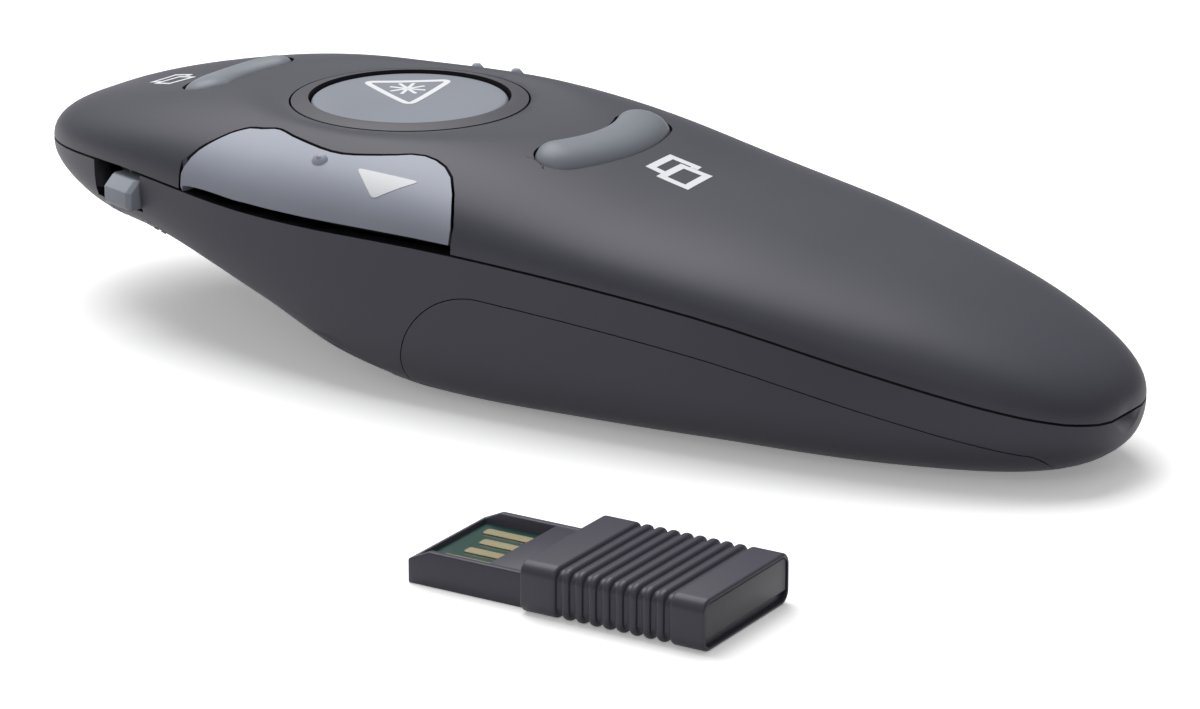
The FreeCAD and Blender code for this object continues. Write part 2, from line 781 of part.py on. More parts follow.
def leaf(x, tip, y):
    """Bowed contact leaf from a plate at x that reaches a cell's flat end."""
    z = about(cell_axis_z(), contact_height)
    bow = [V(x, 0, z[0]), V(tip, 0, cell_axis_z()), V(x, 0, z[1])]
    back = [V(p.x - contact_thickness, 0, p.z) for p in bow]
    outer_arc, inner_arc = Part.Arc(*bow).toShape(), Part.Arc(*back[::-1]).toShape()
    ends = [Part.LineSegment(bow[2], back[2]).toShape(), Part.LineSegment(back[0], bow[0]).toShape()]
    strip = Part.Face(Part.Wire([outer_arc, ends[0], inner_arc, ends[1]]))
    width = contact_width / 2
    strip.translate(V(0, y - width / 2, 0))
    return strip.extrude(V(0, width, 0))


def contact_plate(x, y, width):
    return box(x, about(y, width), about(cell_axis_z(), contact_height))


def contacts():
    """Front plate and leaf, and the rear link that joins the two cells."""
    front_x = (cell_front - leaf_reach, cell_front - leaf_reach + contact_thickness)
    rear_end = cell_front + cell_length + contact_gap()
    rear_x = (rear_end, rear_end + contact_thickness)
    tip = cell_front - contact_gap()
    nub_reach = box((front_x[1], tip), about(cell_y(1), contact_width / 2),
                    about(cell_axis_z(), contact_width / 2))
    positive = contact_plate(front_x, cell_y(1), contact_width).fuse(nub_reach)
    negative = contact_plate(front_x, cell_y(-1), contact_width).fuse(leaf(front_x[1], tip, cell_y(-1)))
    link = box(rear_x, (cell_y(-1) - contact_width / 2, cell_y(1) + contact_width / 2),
               about(cell_axis_z(), contact_height))
    return {"positive_contact": positive, "negative_contact": negative, "link_contact": link}


def contact_gap():
    return cell_gap / 10


def tray_front():
    return cell_front - leaf_reach - bulkhead


def tray_roof_top():
    return cell_top() + tray_roof_gap + tray_roof_thickness


def battery_tray():
    """Roof over the cells, cross walls for the contacts, and a rail beside each cell."""
    roof_z = (cell_top() + tray_roof_gap, tray_roof_top())
    rear_wall = cell_front + cell_length + contact_gap() + contact_thickness
    low = wall + cell_floor_gap
    wide = (-half_width, half_width)
    pieces = [box((rear_wall, rear_wall + bulkhead), wide, (low, roof_z[1])),
              box((tray_front(), rear_wall + bulkhead), wide, roof_z)]
    rail_y = cell_y(1) + cell_radius + running_gap
    for side in (1, -1):
        y = sorted((side * rail_y, side * (rail_y + rail_thickness)))
        pieces.append(box((tray_front(), rear_wall), y, (roof_z[0] - rail_depth, roof_z[0])))
    tray = box((tray_front(), tray_front() + bulkhead), wide, (low, roof_z[1])).fuse(pieces)
    holes = [upright(screw_radius + screw_hole_gap, x, y, roof_z) for x, y in screw_places()]
    return tray.common(fit_skin).cut(holes)


def housing_screws():
    """Two self-tapping screws, heads under the tray's roof."""
    top = cell_top() + tray_roof_gap
    solids = []
    for x, y in screw_places():
        head = upright(screw_head_radius, x, y, (top - screw_head_height, top))
        shank = upright(screw_radius, x, y, (top, top + screw_length))
        for turn in (0, 1):
            size = (screw_slot_width, 2 * screw_head_radius * screw_slot_share)
            slot = box(about(x, size[turn]), about(y, size[1 - turn]),
                       (top - screw_head_height, top - screw_head_height + screw_slot_depth))
            head = head.cut(slot)
        solids.append(head.fuse(shank))
    return Part.makeCompound(solids)


# Receiver, drawn along X from its plug end and then set down beside the clicker

def at_receiver(shape):
    shape.rotate(V(0, 0, 0), Z_AXIS, receiver_turn)
    shape.translate(V(receiver_x, receiver_y, 0))
    return shape


def receiver_shell():
    """Ribbed grip and open plug tray in one moulding."""
    grip = box((plug_length, receiver_length), about(0, grip_width), (0, grip_thickness))
    edges = [e for e in grip.Edges if e.BoundBox.XLength > grip_thickness]
    grip = grip.makeChamfer(grip_corner, edges)
    for k in range(groove_count):
        x = plug_length + groove_start + k * groove_pitch
        keep = box((x, x + groove_width), about(0, grip_width - 2 * groove_depth),
                   (groove_depth, grip_thickness - groove_depth))
        keep = keep.makeChamfer(grip_corner - groove_depth / 2,
                                [e for e in keep.Edges if e.BoundBox.XLength > groove_width / 2])
        ring = box((x, x + groove_width), about(0, grip_width * 2), (-grip_thickness, grip_thickness * 2))
        grip = grip.cut(ring.cut(keep))
    recess = box((receiver_length - end_recess, receiver_length), about(0, grip_width - 2 * end_rim),
                 (end_rim, grip_thickness - end_rim))
    grip = grip.cut(recess)
    profile = [V(0, 0, 0), V(plug_length, 0, 0), V(plug_length, 0, plug_thickness),
               V(plug_bevel_length, 0, plug_thickness), V(0, 0, plug_thickness - plug_bevel_height), V(0, 0, 0)]
    plug = Part.Face(Part.makePolygon(profile)).extrude(V(0, plug_width, 0))
    plug.translate(V(0, -plug_width / 2, 0))
    shell = grip.fuse(plug)
    tray = box((plug_wall, plug_length), about(0, plug_width - 2 * plug_wall), (plug_floor, grip_thickness))
    hollow_high = plug_floor + receiver_board_thickness + receiver_chip_height
    inside = box((plug_length, receiver_board_length + plug_wall), about(0, plug_width - 2 * plug_wall),
                 (plug_floor, hollow_high))
    return at_receiver(shell.cut(tray).cut(inside))


def receiver_board():
    board = box((plug_wall, receiver_board_length), about(0, plug_width - 2 * plug_wall),
                (plug_floor, plug_floor + receiver_board_thickness))
    return at_receiver(board)


def receiver_contacts():
    """Four gold strips on the plug's board; the outer two reach nearer the front."""
    top = plug_floor + receiver_board_thickness
    strips = []
    for k in range(gold_strip_count):
        y = (k - (gold_strip_count - 1) / 2) * gold_strip_pitch
        outer = k in (0, gold_strip_count - 1)
        start = plug_wall + plug_bevel_length * (outer_strip_share if outer else 1)
        strips.append(box((start, start + gold_strip_length), about(y, gold_strip_width),
                          (top, top + gold_strip_height)))
    return at_receiver(Part.makeCompound(strips))


def receiver_chip():
    top = plug_floor + receiver_board_thickness
    x = (plug_length + plug_wall, plug_length + plug_wall + receiver_chip_length)
    return at_receiver(box(x, about(0, receiver_chip_length), (top, top + receiver_chip_height - groove_depth)))


def receiver_end_plate():
    """Inset plate in the grip's end, with a slot along its lower edge."""
    x = (receiver_length - end_recess, receiver_length - end_recess / 2)
    plate = box(x, about(0, grip_width - 2 * end_rim), (end_rim, grip_thickness - end_rim))
    slot = box(x, about(0, grip_width - 4 * end_rim), (end_rim, end_rim + end_slot_height))
    return at_receiver(plate.cut(slot))


save("top_cover", top_cover())
save("bottom_cover", bottom_cover())
save("battery_door", battery_door())
save("battery_tray", battery_tray())
save("button_bezel", button_bezel())
save("laser_button", laser_button())
save("next_key", side_key(-1))
save("previous_key", side_key(1))
save("front_key", arc_key(front_arc))
save("rear_key", arc_key(rear_arc))
for key, place in key_switches().items():
    save(key + "_switch", switch_case(*place))
    save(key + "_stem", switch_stem(*place))
save("main_board", main_board())
save("radio_chip", on_board(radio_chip, chip_height))
save("controller_chip", on_board(controller_chip, chip_height))
save("crystal", crystal_can())
save("capacitors", capacitors())
save("laser_barrel", laser_barrel())
save("laser_lens", laser_lens())
save("laser_diode", laser_diode())
save("laser_holder", laser_holder())
save("power_knob", power_knob())
save("power_switch_lever", power_lever_bar())
save("power_switch_case", power_switch_case())
save("left_cell", cell(-1))
save("right_cell", cell(1))
for name, piece in contacts().items():
    save(name, piece)
save("housing_screws", housing_screws())
save("receiver_shell", receiver_shell())
save("receiver_board", receiver_board())
save("receiver_contacts", receiver_contacts())
save("receiver_chip", receiver_chip())
save("receiver_end_plate", receiver_end_plate())
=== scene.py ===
import math

import bmesh
import bpy
import numpy as np
from mathutils import Matrix, Vector


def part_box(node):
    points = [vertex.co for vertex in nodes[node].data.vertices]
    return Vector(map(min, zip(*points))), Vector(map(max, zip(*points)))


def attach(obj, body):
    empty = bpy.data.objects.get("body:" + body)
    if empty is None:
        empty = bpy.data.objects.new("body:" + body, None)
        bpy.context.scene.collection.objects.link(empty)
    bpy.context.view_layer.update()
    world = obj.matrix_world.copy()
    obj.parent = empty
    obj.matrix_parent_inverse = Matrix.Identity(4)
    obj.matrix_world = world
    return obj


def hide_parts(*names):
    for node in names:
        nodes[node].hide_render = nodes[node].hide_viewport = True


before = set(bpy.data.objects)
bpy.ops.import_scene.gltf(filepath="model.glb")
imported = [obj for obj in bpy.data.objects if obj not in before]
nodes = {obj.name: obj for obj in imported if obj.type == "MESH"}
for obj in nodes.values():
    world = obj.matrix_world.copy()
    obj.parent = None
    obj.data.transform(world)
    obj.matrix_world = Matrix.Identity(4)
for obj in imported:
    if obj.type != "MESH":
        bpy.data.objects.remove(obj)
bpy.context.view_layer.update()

mm = 0.001
scene = bpy.context.scene


# Node helpers

def addNode(tree, kind, inputs=(), **settings):
    # new node with its settings; each input is linked to a socket or set to a value
    node = tree.nodes.new(kind)
    for label, value in settings.items():
        setattr(node, label, value)
    for label, value in dict(inputs).items():
        if isinstance(value, bpy.types.NodeSocket):
            tree.links.new(value, node.inputs[label])
        else:
            node.inputs[label].default_value = value
    return node


def mathNode(tree, operation, first, second):
    return addNode(tree, "ShaderNodeMath", {0: first, 1: second}, operation=operation).outputs[0]


# Camera at the photograph's viewing angle, and the studio round the object

view = {"focal": 140.81, "sensor": 36.0, "elevation": 0.3196, "yaw": 0.5951, "distance": 464.64,
        "acrossShift": -2.54, "upShift": -0.61, "clip": (0.01, 20)}


def cameraAxes():
    e, a = view["elevation"], view["yaw"]
    back = Vector((math.sin(a) * math.cos(e), -math.cos(a) * math.cos(e), math.sin(e)))
    right = Vector((math.cos(a), math.sin(a), 0))
    return right, back.cross(right), back


def makeCamera():
    right, up, back = cameraAxes()
    data = bpy.data.cameras.new("photoCamera")
    data.sensor_width, data.lens = view["sensor"], view["focal"]
    data.clip_start, data.clip_end = view["clip"]
    camera = bpy.data.objects.new("photoCamera", data)
    scene.collection.objects.link(camera)
    place = back * view["distance"] - right * view["acrossShift"] - up * view["upShift"]
    turn = Matrix((right, up, back)).transposed().to_4x4()
    camera.matrix_world = Matrix.Translation(place * mm) @ turn
    scene.camera = camera


studio = {"floorSize": 8.0, "floorLow": -0.00002, "skyStrength": 0.27, "floorBounce": 0.10, "floorSeen": 0.95,
          "floorExtra": 0.70, "floorGlow": 0.24, "aim": (0, 0, 0.01),
          "lamps": [("topLamp", (-0.38, 0.18, 0.8), (0.8, 0.8), 7.2),
                    ("nearLamp", (0.20, -0.9, 0.55), (0.6, 0.4), 0.9)]}


def seenDirectly(tree):
    # 1 where the camera sees it, also by way of metal or glass
    path = tree.nodes.new("ShaderNodeLightPath").outputs
    seen = mathNode(tree, "MAXIMUM", path["Is Camera Ray"], path["Is Glossy Ray"])
    return mathNode(tree, "MAXIMUM", seen, path["Is Transmission Ray"])


def floorMaterial():
    # white to the eye and dark to bounced light, with the shadow kept
    material = bpy.data.materials.new("paleFloor")
    material.use_nodes = True
    tree = material.node_tree
    tree.nodes.remove(tree.nodes["Principled BSDF"])
    bounce, seen, extra = (
        addNode(tree, "ShaderNodeBsdfDiffuse", {"Color": (studio[level], studio[level], studio[level], 1)}).outputs[0]
        for level in ("floorBounce", "floorSeen", "floorExtra"))
    both = addNode(tree, "ShaderNodeAddShader", {0: seen, 1: extra}).outputs[0]
    glow = addNode(tree, "ShaderNodeEmission", {"Strength": 1.0}).outputs[0]
    lifted = addNode(tree, "ShaderNodeMixShader", {0: studio["floorGlow"], 1: both, 2: glow}).outputs[0]
    mixed = addNode(tree, "ShaderNodeMixShader", {0: seenDirectly(tree), 1: bounce, 2: lifted}).outputs[0]
    tree.links.new(mixed, tree.nodes["Material Output"].inputs["Surface"])
    return material


def makeStudio():
    bpy.ops.mesh.primitive_plane_add(size=studio["floorSize"], location=(0, 0, studio["floorLow"]))
    floor = bpy.context.object
    floor.name = "floor"
    floor.data.materials.append(floorMaterial())
    world = bpy.data.worlds.new("softSky")
    scene.world = world
    world.use_nodes = True
    tree = world.node_tree
    sky = tree.nodes["Background"]
    sky.inputs["Color"].default_value = (1, 1, 1, 1)
    sky.inputs["Strength"].default_value = studio["skyStrength"]
    seen = addNode(tree, "ShaderNodeBackground", {"Strength": 1.0}).outputs[0]
    cameraRay = tree.nodes.new("ShaderNodeLightPath").outputs["Is Camera Ray"]
    mixed = addNode(tree, "ShaderNodeMixShader", {0: cameraRay, 1: sky.outputs[0], 2: seen})
    tree.links.new(mixed.outputs[0], tree.nodes["World Output"].inputs["Surface"])
    for name, place, size, power in studio["lamps"]:
        data = bpy.data.lights.new(name, "AREA")
        data.shape, data.size, data.size_y, data.energy = "RECTANGLE", size[0], size[1], power
        lamp = bpy.data.objects.new(name, data)
        lamp.location = place
        lamp.rotation_mode = "QUATERNION"
        lamp.rotation_quaternion = (Vector(studio["aim"]) - Vector(place)).to_track_quat("-Z", "Y")
        scene.collection.objects.link(lamp)
    scene.view_settings.view_transform = "Standard"


makeCamera()
makeStudio()
print("camera and studio are set")


# Shader groups shared by the finishes

grain = {"fineDetail": 2, "slowScale": 60.0, "slowDetail": 3, "reliefDepth": 0.00003}


def makeGrainGroup():
    # moulded plastic: fine spark-eroded grain, slow colour drift and uneven sheen
    group = bpy.data.node_groups.new("mouldedGrain", "ShaderNodeTree")
    for label, value in (("Color", (0.1, 0.1, 0.1, 1)), ("Grain Scale", 4000.0), ("Drift", 0.06),
                         ("Roughness", 0.5), ("Sheen Spread", 0.06)):
        kind = "NodeSocketColor" if label == "Color" else "NodeSocketFloat"
        group.interface.new_socket(label, in_out="INPUT", socket_type=kind).default_value = value
    for label, kind in (("Color", "NodeSocketColor"), ("Roughness", "NodeSocketFloat"), ("Height", "NodeSocketFloat")):
        group.interface.new_socket(label, in_out="OUTPUT", socket_type=kind)
    start, end = group.nodes.new("NodeGroupInput"), group.nodes.new("NodeGroupOutput")
    place = group.nodes.new("ShaderNodeTexCoord").outputs["Object"]
    given = start.outputs
    fine, slow = (addNode(group, "ShaderNodeTexNoise", {"Vector": place, "Scale": scale, "Detail": detail})
                  .outputs["Fac"] for scale, detail in ((given["Grain Scale"], grain["fineDetail"]),
                                                     (grain["slowScale"], grain["slowDetail"])))
    middle = mathNode(group, "SUBTRACT", slow, 0.5)
    drift, spread = (mathNode(group, "MULTIPLY", middle, given[label]) for label in ("Drift", "Sheen Spread"))
    value = mathNode(group, "ADD", drift, 1.0)
    tint = addNode(group, "ShaderNodeHueSaturation", {"Color": given["Color"], "Value": value})
    for label, result in (("Color", tint.outputs["Color"]), ("Height", fine),
                          ("Roughness", mathNode(group, "ADD", spread, given["Roughness"]))):
        group.links.new(result, end.inputs[label])
    return group


grainGroup = makeGrainGroup()


def mouldedMaterial(name, color, roughness, grainScale=4000.0, bump=0.12, drift=0.25, specular=0.4, metallic=0.0,
                    coat=0.0):
    material = bpy.data.materials.new(name)
    material.use_nodes = True
    tree = material.node_tree
    shader = tree.nodes["Principled BSDF"]
    finish = addNode(tree, "ShaderNodeGroup", {"Color": (*color, 1), "Grain Scale": grainScale, "Drift": drift,
                                               "Roughness": roughness}, node_tree=grainGroup).outputs
    relief = addNode(tree, "ShaderNodeBump", {"Strength": bump, "Distance": grain["reliefDepth"],
                                                "Height": finish["Height"]})
    for label, result in (("Base Color", finish["Color"]), ("Roughness", finish["Roughness"]),
                          ("Normal", relief.outputs["Normal"])):
        tree.links.new(result, shader.inputs[label])
    for label, value in (("Specular IOR Level", specular), ("Metallic", metallic), ("Coat Weight", coat)):
        shader.inputs[label].default_value = value
    return material


# name, colour, roughness and what differs from the usual
finishRows = {
    "housing": ("charcoalHousing", (0.076, 0.076, 0.099), 0.50),
    "bezel": ("charcoalRing", (0.092, 0.089, 0.108), 0.46),
    "button": ("buttonBlueGrey", (0.300, 0.320, 0.375), 0.45, {"bump": 0.05}),
    "key": ("keyBlueGrey", (0.435, 0.462, 0.548), 0.46, {"bump": 0.05}),
    "arcKey": ("arcKeyBlueGrey", (0.270, 0.292, 0.335), 0.46, {"bump": 0.05}),
    "knob": ("knobGrey", (0.48, 0.52, 0.590), 0.48, {"bump": 0.05}),
    "print": ("whitePrint", (0.95, 0.97, 1.0), 0.5, {"bump": 0.03, "drift": 0.08}),
    "greyPrint": ("greyPrint", (0.62, 0.63, 0.68), 0.5, {"bump": 0.03, "drift": 0.2}),
    "innerPlastic": ("blackInnerPlastic", (0.018, 0.018, 0.020), 0.5),
    # painted shade: a near-black copy of the housing plastic, laid on the walls inside seams, slots and recesses
    "paintedGapShade": ("paintedGapShadeWall", (0.014, 0.013, 0.018), 0.6, {"specular": 0.2}),
    "receiver": ("receiverGrey", (0.070, 0.066, 0.090), 0.42),
    "endPlate": ("endPlateGrey", (0.068, 0.068, 0.080), 0.45),
    "board": ("boardGreen", (0.022, 0.075, 0.062), 0.35, {"grainScale": 1500, "bump": 0.03, "coat": 0.3}),
    "mainBoard": ("mainBoardGreen", (0.006, 0.020, 0.014), 0.4, {"grainScale": 1500, "bump": 0.03}),
    "chip": ("chipBlack", (0.012, 0.012, 0.013), 0.45),
    "ceramic": ("ceramicTan", (0.36, 0.25, 0.14), 0.55),
    "metal": ("tinnedSteel", (0.60, 0.60, 0.61), 0.32, {"metallic": 1.0, "bump": 0.05}),
    "contact": ("nickelContact", (0.66, 0.64, 0.60), 0.25, {"metallic": 1.0, "bump": 0.04}),
    "gold": ("goldStrip", (0.42, 0.37, 0.23), 0.42, {"metallic": 1.0, "bump": 0.1, "drift": 0.9}),
    "brass": ("turnedBrass", (0.60, 0.42, 0.16), 0.28, {"metallic": 1.0}),
    "cell": ("cellWrap", (0.05, 0.05, 0.058), 0.25, {"bump": 0.02, "coat": 0.5}),
}
finishes = {key: mouldedMaterial(*row[:3], **dict(*row[3:])) for key, row in finishRows.items()}

lens = bpy.data.materials.new("clearLens")
lens.use_nodes = True
for label, value in (("Base Color", (0.95, 0.80, 0.80, 1)), ("Roughness", 0.05), ("Transmission Weight", 0.9)):
    lens.node_tree.nodes["Principled BSDF"].inputs[label].default_value = value
finishes["lens"] = lens

finishNodes = {
    "housing": "top_cover bottom_cover battery_door", "bezel": "button_bezel", "button": "laser_button",
    "key": "next_key previous_key", "arcKey": "front_key rear_key", "knob": "power_knob",
    "mainBoard": "main_board", "chip": "radio_chip controller_chip receiver_chip", "ceramic": "capacitors",
    "metal": "power_switch_case crystal laser_diode", "brass": "laser_barrel", "lens": "laser_lens",
    "cell": "left_cell right_cell", "contact": "positive_contact negative_contact link_contact housing_screws",
    "receiver": "receiver_shell", "board": "receiver_board", "gold": "receiver_contacts",
    "endPlate": "receiver_end_plate"}
nodeFinishes = {name: finish for finish, names in finishNodes.items() for name in names.split()}
for name, node in nodes.items():
    kind = nodeFinishes.get(name) or ("metal" if name.endswith("_switch") else "innerPlastic")
    node.data.materials.clear()
    node.data.materials.append(finishes[kind])
print("finishes are on the CAD nodes")


# The housing's form, with the same shares as the CAD, so that its skin can be made smooth

form = {
    "length": 123.0, "width": 42.5, "seam": 16.2, "crest": 9.3, "keel": 16.75, "crestPower": 2.42,
    "widestShare": 0.384, "noseCurve": 1.84, "noseRound": 2.64, "tailCurve": 1.56, "tailRound": 2.87,
    "seamShares": [(0, 0.979), (0.15, 1.062), (0.3, 1.007), (0.5, 0.996), (0.7, 0.868), (0.85, 0.651), (1, 0.389)],
    "crestShares": [(0, 0.81), (0.12, 0.81), (0.25, 0.964), (0.38, 1.0), (0.5, 0.894), (0.63, 0.707),
                    (0.76, 0.74), (0.88, 0.9), (1, 1.05)],
    "keelShares": [(0, 0.31), (0.1, 0.53), (0.2, 0.512), (0.3, 0.646), (0.38, 0.862), (0.46, 0.986),
                   (0.6, 0.995), (0.75, 0.958), (0.88, 0.9), (1, 0.86)],
    "keelPowers": [(0, 3.0), (0.2, 4.5), (0.45, 5.6), (0.7, 5.0), (0.9, 3.2), (1, 2.3)],
    "samples": 4000, "snapWithin": 0.22, "outerWithin": 0.6, "finestEdge": 1.3, "creaseAngle": 32.0,
    "outerLean": 0.25, "tailFrom": 58.5, "tailFacing": 0.3, "passes": 3, "longestStep": 0.3, "normalWithin": 0.8,
    "upperFrom": 17.5, "mergeWithin": 0.002, "degenerate": 0.001, "offTable": 0.02}


def smoothShare(table, at):
    rows = len(table)
    k = max(i for i in range(rows - 1) if i == 0 or table[i][0] <= at)
    (x0, y0), (x1, y1) = table[k], table[k + 1]
    before = table[k - 1] if k > 0 else table[k]
    after = table[k + 2] if k + 2 < rows else table[k + 1]
    span = x1 - x0
    t = min(max((at - x0) / span, 0), 1)
    m0 = (y1 - before[1]) / (x1 - before[0]) * span
    m1 = (after[1] - y0) / (after[0] - x0) * span
    return ((2 * t**3 - 3 * t**2 + 1) * y0 + (t**3 - 2 * t**2 + t) * m0
            + (3 * t**2 - 2 * t**3) * y1 + (t**3 - t**2) * m1)


def fullness(share):
    widest = form["widestShare"]
    if share < widest:
        t = (widest - share) / widest
        return max(1 - t ** form["noseCurve"], 0) ** (1 / form["noseRound"])
    t = (share - widest) / (1 - widest)
    return max(1 - t ** form["tailCurve"], 0) ** (1 / form["tailRound"])


def makeSkinTable():
    half = form["length"] / 2
    rows = []
    for k in range(form["samples"] + 1):
        share = (1 - math.cos(math.pi * k / form["samples"])) / 2
        full = fullness(share)
        rows.append((half * (2 * share - 1), form["width"] / 2 * full,
                     form["crest"] * smoothShare(form["crestShares"], share) * full,
                     form["keel"] * smoothShare(form["keelShares"], share) * full,
                     form["seam"] * smoothShare(form["seamShares"], share),
                     smoothShare(form["keelPowers"], share)))
    return np.array(rows).T


skinTable = makeSkinTable()


def skinAt(x):
    # half width, rise, drop, seam height and lower exponent at x, in mm
    return [np.interp(x, skinTable[0], row) for row in skinTable[1:]]


def skinLevel(points):
    # 1 on the skin, less inside
    width, rise, drop, seam, keelPower = skinAt(points[:, 0])
    up = points[:, 2] - seam
    power = np.where(up > 0, form["crestPower"], keelPower)
    height = np.where(up > 0, rise, drop)
    return (np.abs(points[:, 1]) / np.maximum(width, 1e-6)) ** power + (np.abs(up) / np.maximum(height, 1e-6)) ** power


def skinSlope(points):
    step = 0.01
    slope = np.zeros_like(points)
    for axis in range(3):
        shift = np.zeros(3)
        shift[axis] = step
        slope[:, axis] = (skinLevel(points + shift) - skinLevel(points - shift)) / (2 * step)
    return slope


def crownTop(x, y):
    width, rise, drop, seam, keelPower = skinAt(x)
    across = np.minimum(np.abs(y) / width, 1)
    return seam + rise * (1 - across ** form["crestPower"]) ** (1 / form["crestPower"])


# The crown is flatter over the front half, and the ring round the button lies nearly level

flat = {"centre": (-19.8, 0.0), "inner": 10.13, "level": 24.15, "fall": 0.2, "lowest": 23.72, "full": 12.2,
        "flangeInset": 0.13, "flangeBand": 0.05, "leanStep": 0.05, "leastDrop": 0.0001, "leastUp": 0.2,
        "alongReach": 21.0, "acrossReach": 15.6, "edgeShare": 0.75,
        "drops": [(-61.5, 0), (-54, 0.3), (-46, 0.7), (-38, 0.95), (-30, 1.1), (-10, 1.1), (-3, 0.7), (3, 0.2), (8, 0)]}


def crownDrop(x, y):
    # how far the crown is pressed down at x, y
    places, drops = zip(*flat["drops"])
    out = np.clip(np.abs(y) / np.maximum(skinAt(x)[0], 1e-6) / flat["edgeShare"], 0, 1)
    general = np.interp(x, places, drops) * (1 - out * out * (3 - 2 * out))
    dx, dy = x - flat["centre"][0], y - flat["centre"][1]
    away = np.hypot(dx, dy)
    turn = np.arctan2(dy, dx)
    reach = 1 / np.hypot(np.cos(turn) / flat["alongReach"], np.sin(turn) / flat["acrossReach"])
    t = np.clip((away - flat["full"]) / (reach - flat["full"]), 0, 1)
    share = 1 - t * t * (3 - 2 * t)
    level = np.maximum(flat["level"] - flat["fall"] * np.maximum(away - flat["inner"], 0), flat["lowest"])
    return share * np.maximum(crownTop(x, y) - level, 0) + (1 - share) * general


def skinTop(x, y):
    return crownTop(x, y) - crownDrop(x, y)


def crownLevel(x, y):
    return float(skinTop(np.array([x]), np.array([y]))[0])


def skinSide(x, z):
    # distance of the near flank from the middle plane
    width, rise, drop, seam, keelPower = skinAt(x)
    up = z - seam
    power = np.where(up > 0, form["crestPower"], keelPower)
    height = np.where(up > 0, rise, drop)
    return width * (1 - np.minimum(np.abs(up) / height, 1) ** power) ** (1 / power)


def newPiece(name, mesh, body, material, replaces=()):
    piece = bpy.data.objects.new(name, mesh)
    scene.collection.objects.link(piece)
    mesh.materials.clear()
    mesh.materials.append(material)
    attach(piece, body)
    if replaces:
        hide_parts(*replaces)
    return piece


def smooth(mesh, crease):
    # smooth shading, apart from edges that turn more than crease, in degrees
    mesh.shade_smooth()
    mesh.set_sharp_from_angle(angle=math.radians(crease))
    return mesh


def meshOf(name, work, crease):
    mesh = bpy.data.meshes.new(name)
    work.to_mesh(mesh)
    work.free()
    return smooth(mesh, crease)


def sharpEdges(work, angle):
    return [e for e in work.edges if len(e.link_faces) == 2 and e.calc_face_angle(0) > math.radians(angle)]


def roundEdges(work, edges, radius, segments=3):
    bmesh.ops.bevel(work, geom=edges, offset=radius * mm, segments=segments, profile=0.5, affect="EDGES",
                    clamp_overlap=True)


def mergedCopy(nodeName):
    # the node's loose triangles, joined where they meet
    work = bmesh.new()
    work.from_mesh(nodes[nodeName].data)
    bmesh.ops.remove_doubles(work, verts=work.verts, dist=form["mergeWithin"] * mm)
    bmesh.ops.dissolve_degenerate(work, edges=work.edges, dist=form["degenerate"] * mm)
    return work


def onSkin(points):
    slope = skinSlope(points)
    steep = np.linalg.norm(slope, axis=1)
    gap = (1 - skinLevel(points)) / np.maximum(steep, 1e-9)
    near = (np.abs(gap) < form["snapWithin"]) & (points[:, 2] > form["offTable"])
    return near, slope / np.maximum(steep, 1e-9)[:, None], gap


# Arc keys in plan, shared by the keys and by the slots that close round them

arcKeys = {"rear_key": {"apex": 5.0, "bend": 16.5, "reach": 7.0, "halfWidth": 2.75, "slot": 2.88, "proud": 1.15,
                        "side": 1, "cad": {"apex": 4.9, "bend": 18.5, "reach": 7.4, "halfWidth": 2.35}},
           "front_key": {"apex": -42.7, "bend": 11.5, "reach": 5.2, "halfWidth": 2.4, "slot": 2.52, "proud": 0.65,
                         "side": -1, "cad": {"apex": -42.2, "bend": 15.0, "reach": 5.2, "halfWidth": 1.9}},
           "flange": 0.55, "flangeHeight": 0.5, "sunk": 0.9, "power": 2.4, "levels": 14, "slotBand": 0.5,
           "slotClear": 0.2, "slotFade": 2.4, "slotTurn": 1.0, "leastAway": 0.5, "flangeLonger": 0.3,
           "flangeLift": 0.02, "crease": 50.0, "alongSteps": 32, "endSteps": 12}


def arcOutline(arc, halfWidth, longer=0.0):
    # bent slot with round ends, in plan, always the same number of points
    centre = arc["apex"] - arc["side"] * arc["bend"]
    half = math.asin(arc["reach"] / arc["bend"]) + longer / arc["bend"]
    steps, endSteps = arcKeys["alongSteps"], arcKeys["endSteps"]
    places = [(arc["bend"] + halfWidth, -half + 2 * half * k / steps) for k in range(steps + 1)]
    for k in range(1, endSteps):
        t = math.pi * k / endSteps
        places.append((arc["bend"] + halfWidth * math.cos(t), half + halfWidth * math.sin(t) / arc["bend"]))
    places += [(arc["bend"] - halfWidth, half - 2 * half * k / steps) for k in range(steps + 1)]
    for k in range(1, endSteps):
        t = math.pi * k / endSteps
        places.append((arc["bend"] - halfWidth * math.cos(t), -half - halfWidth * math.sin(t) / arc["bend"]))
    return [(centre + arc["side"] * r * math.cos(a), r * math.sin(a)) for r, a in places]


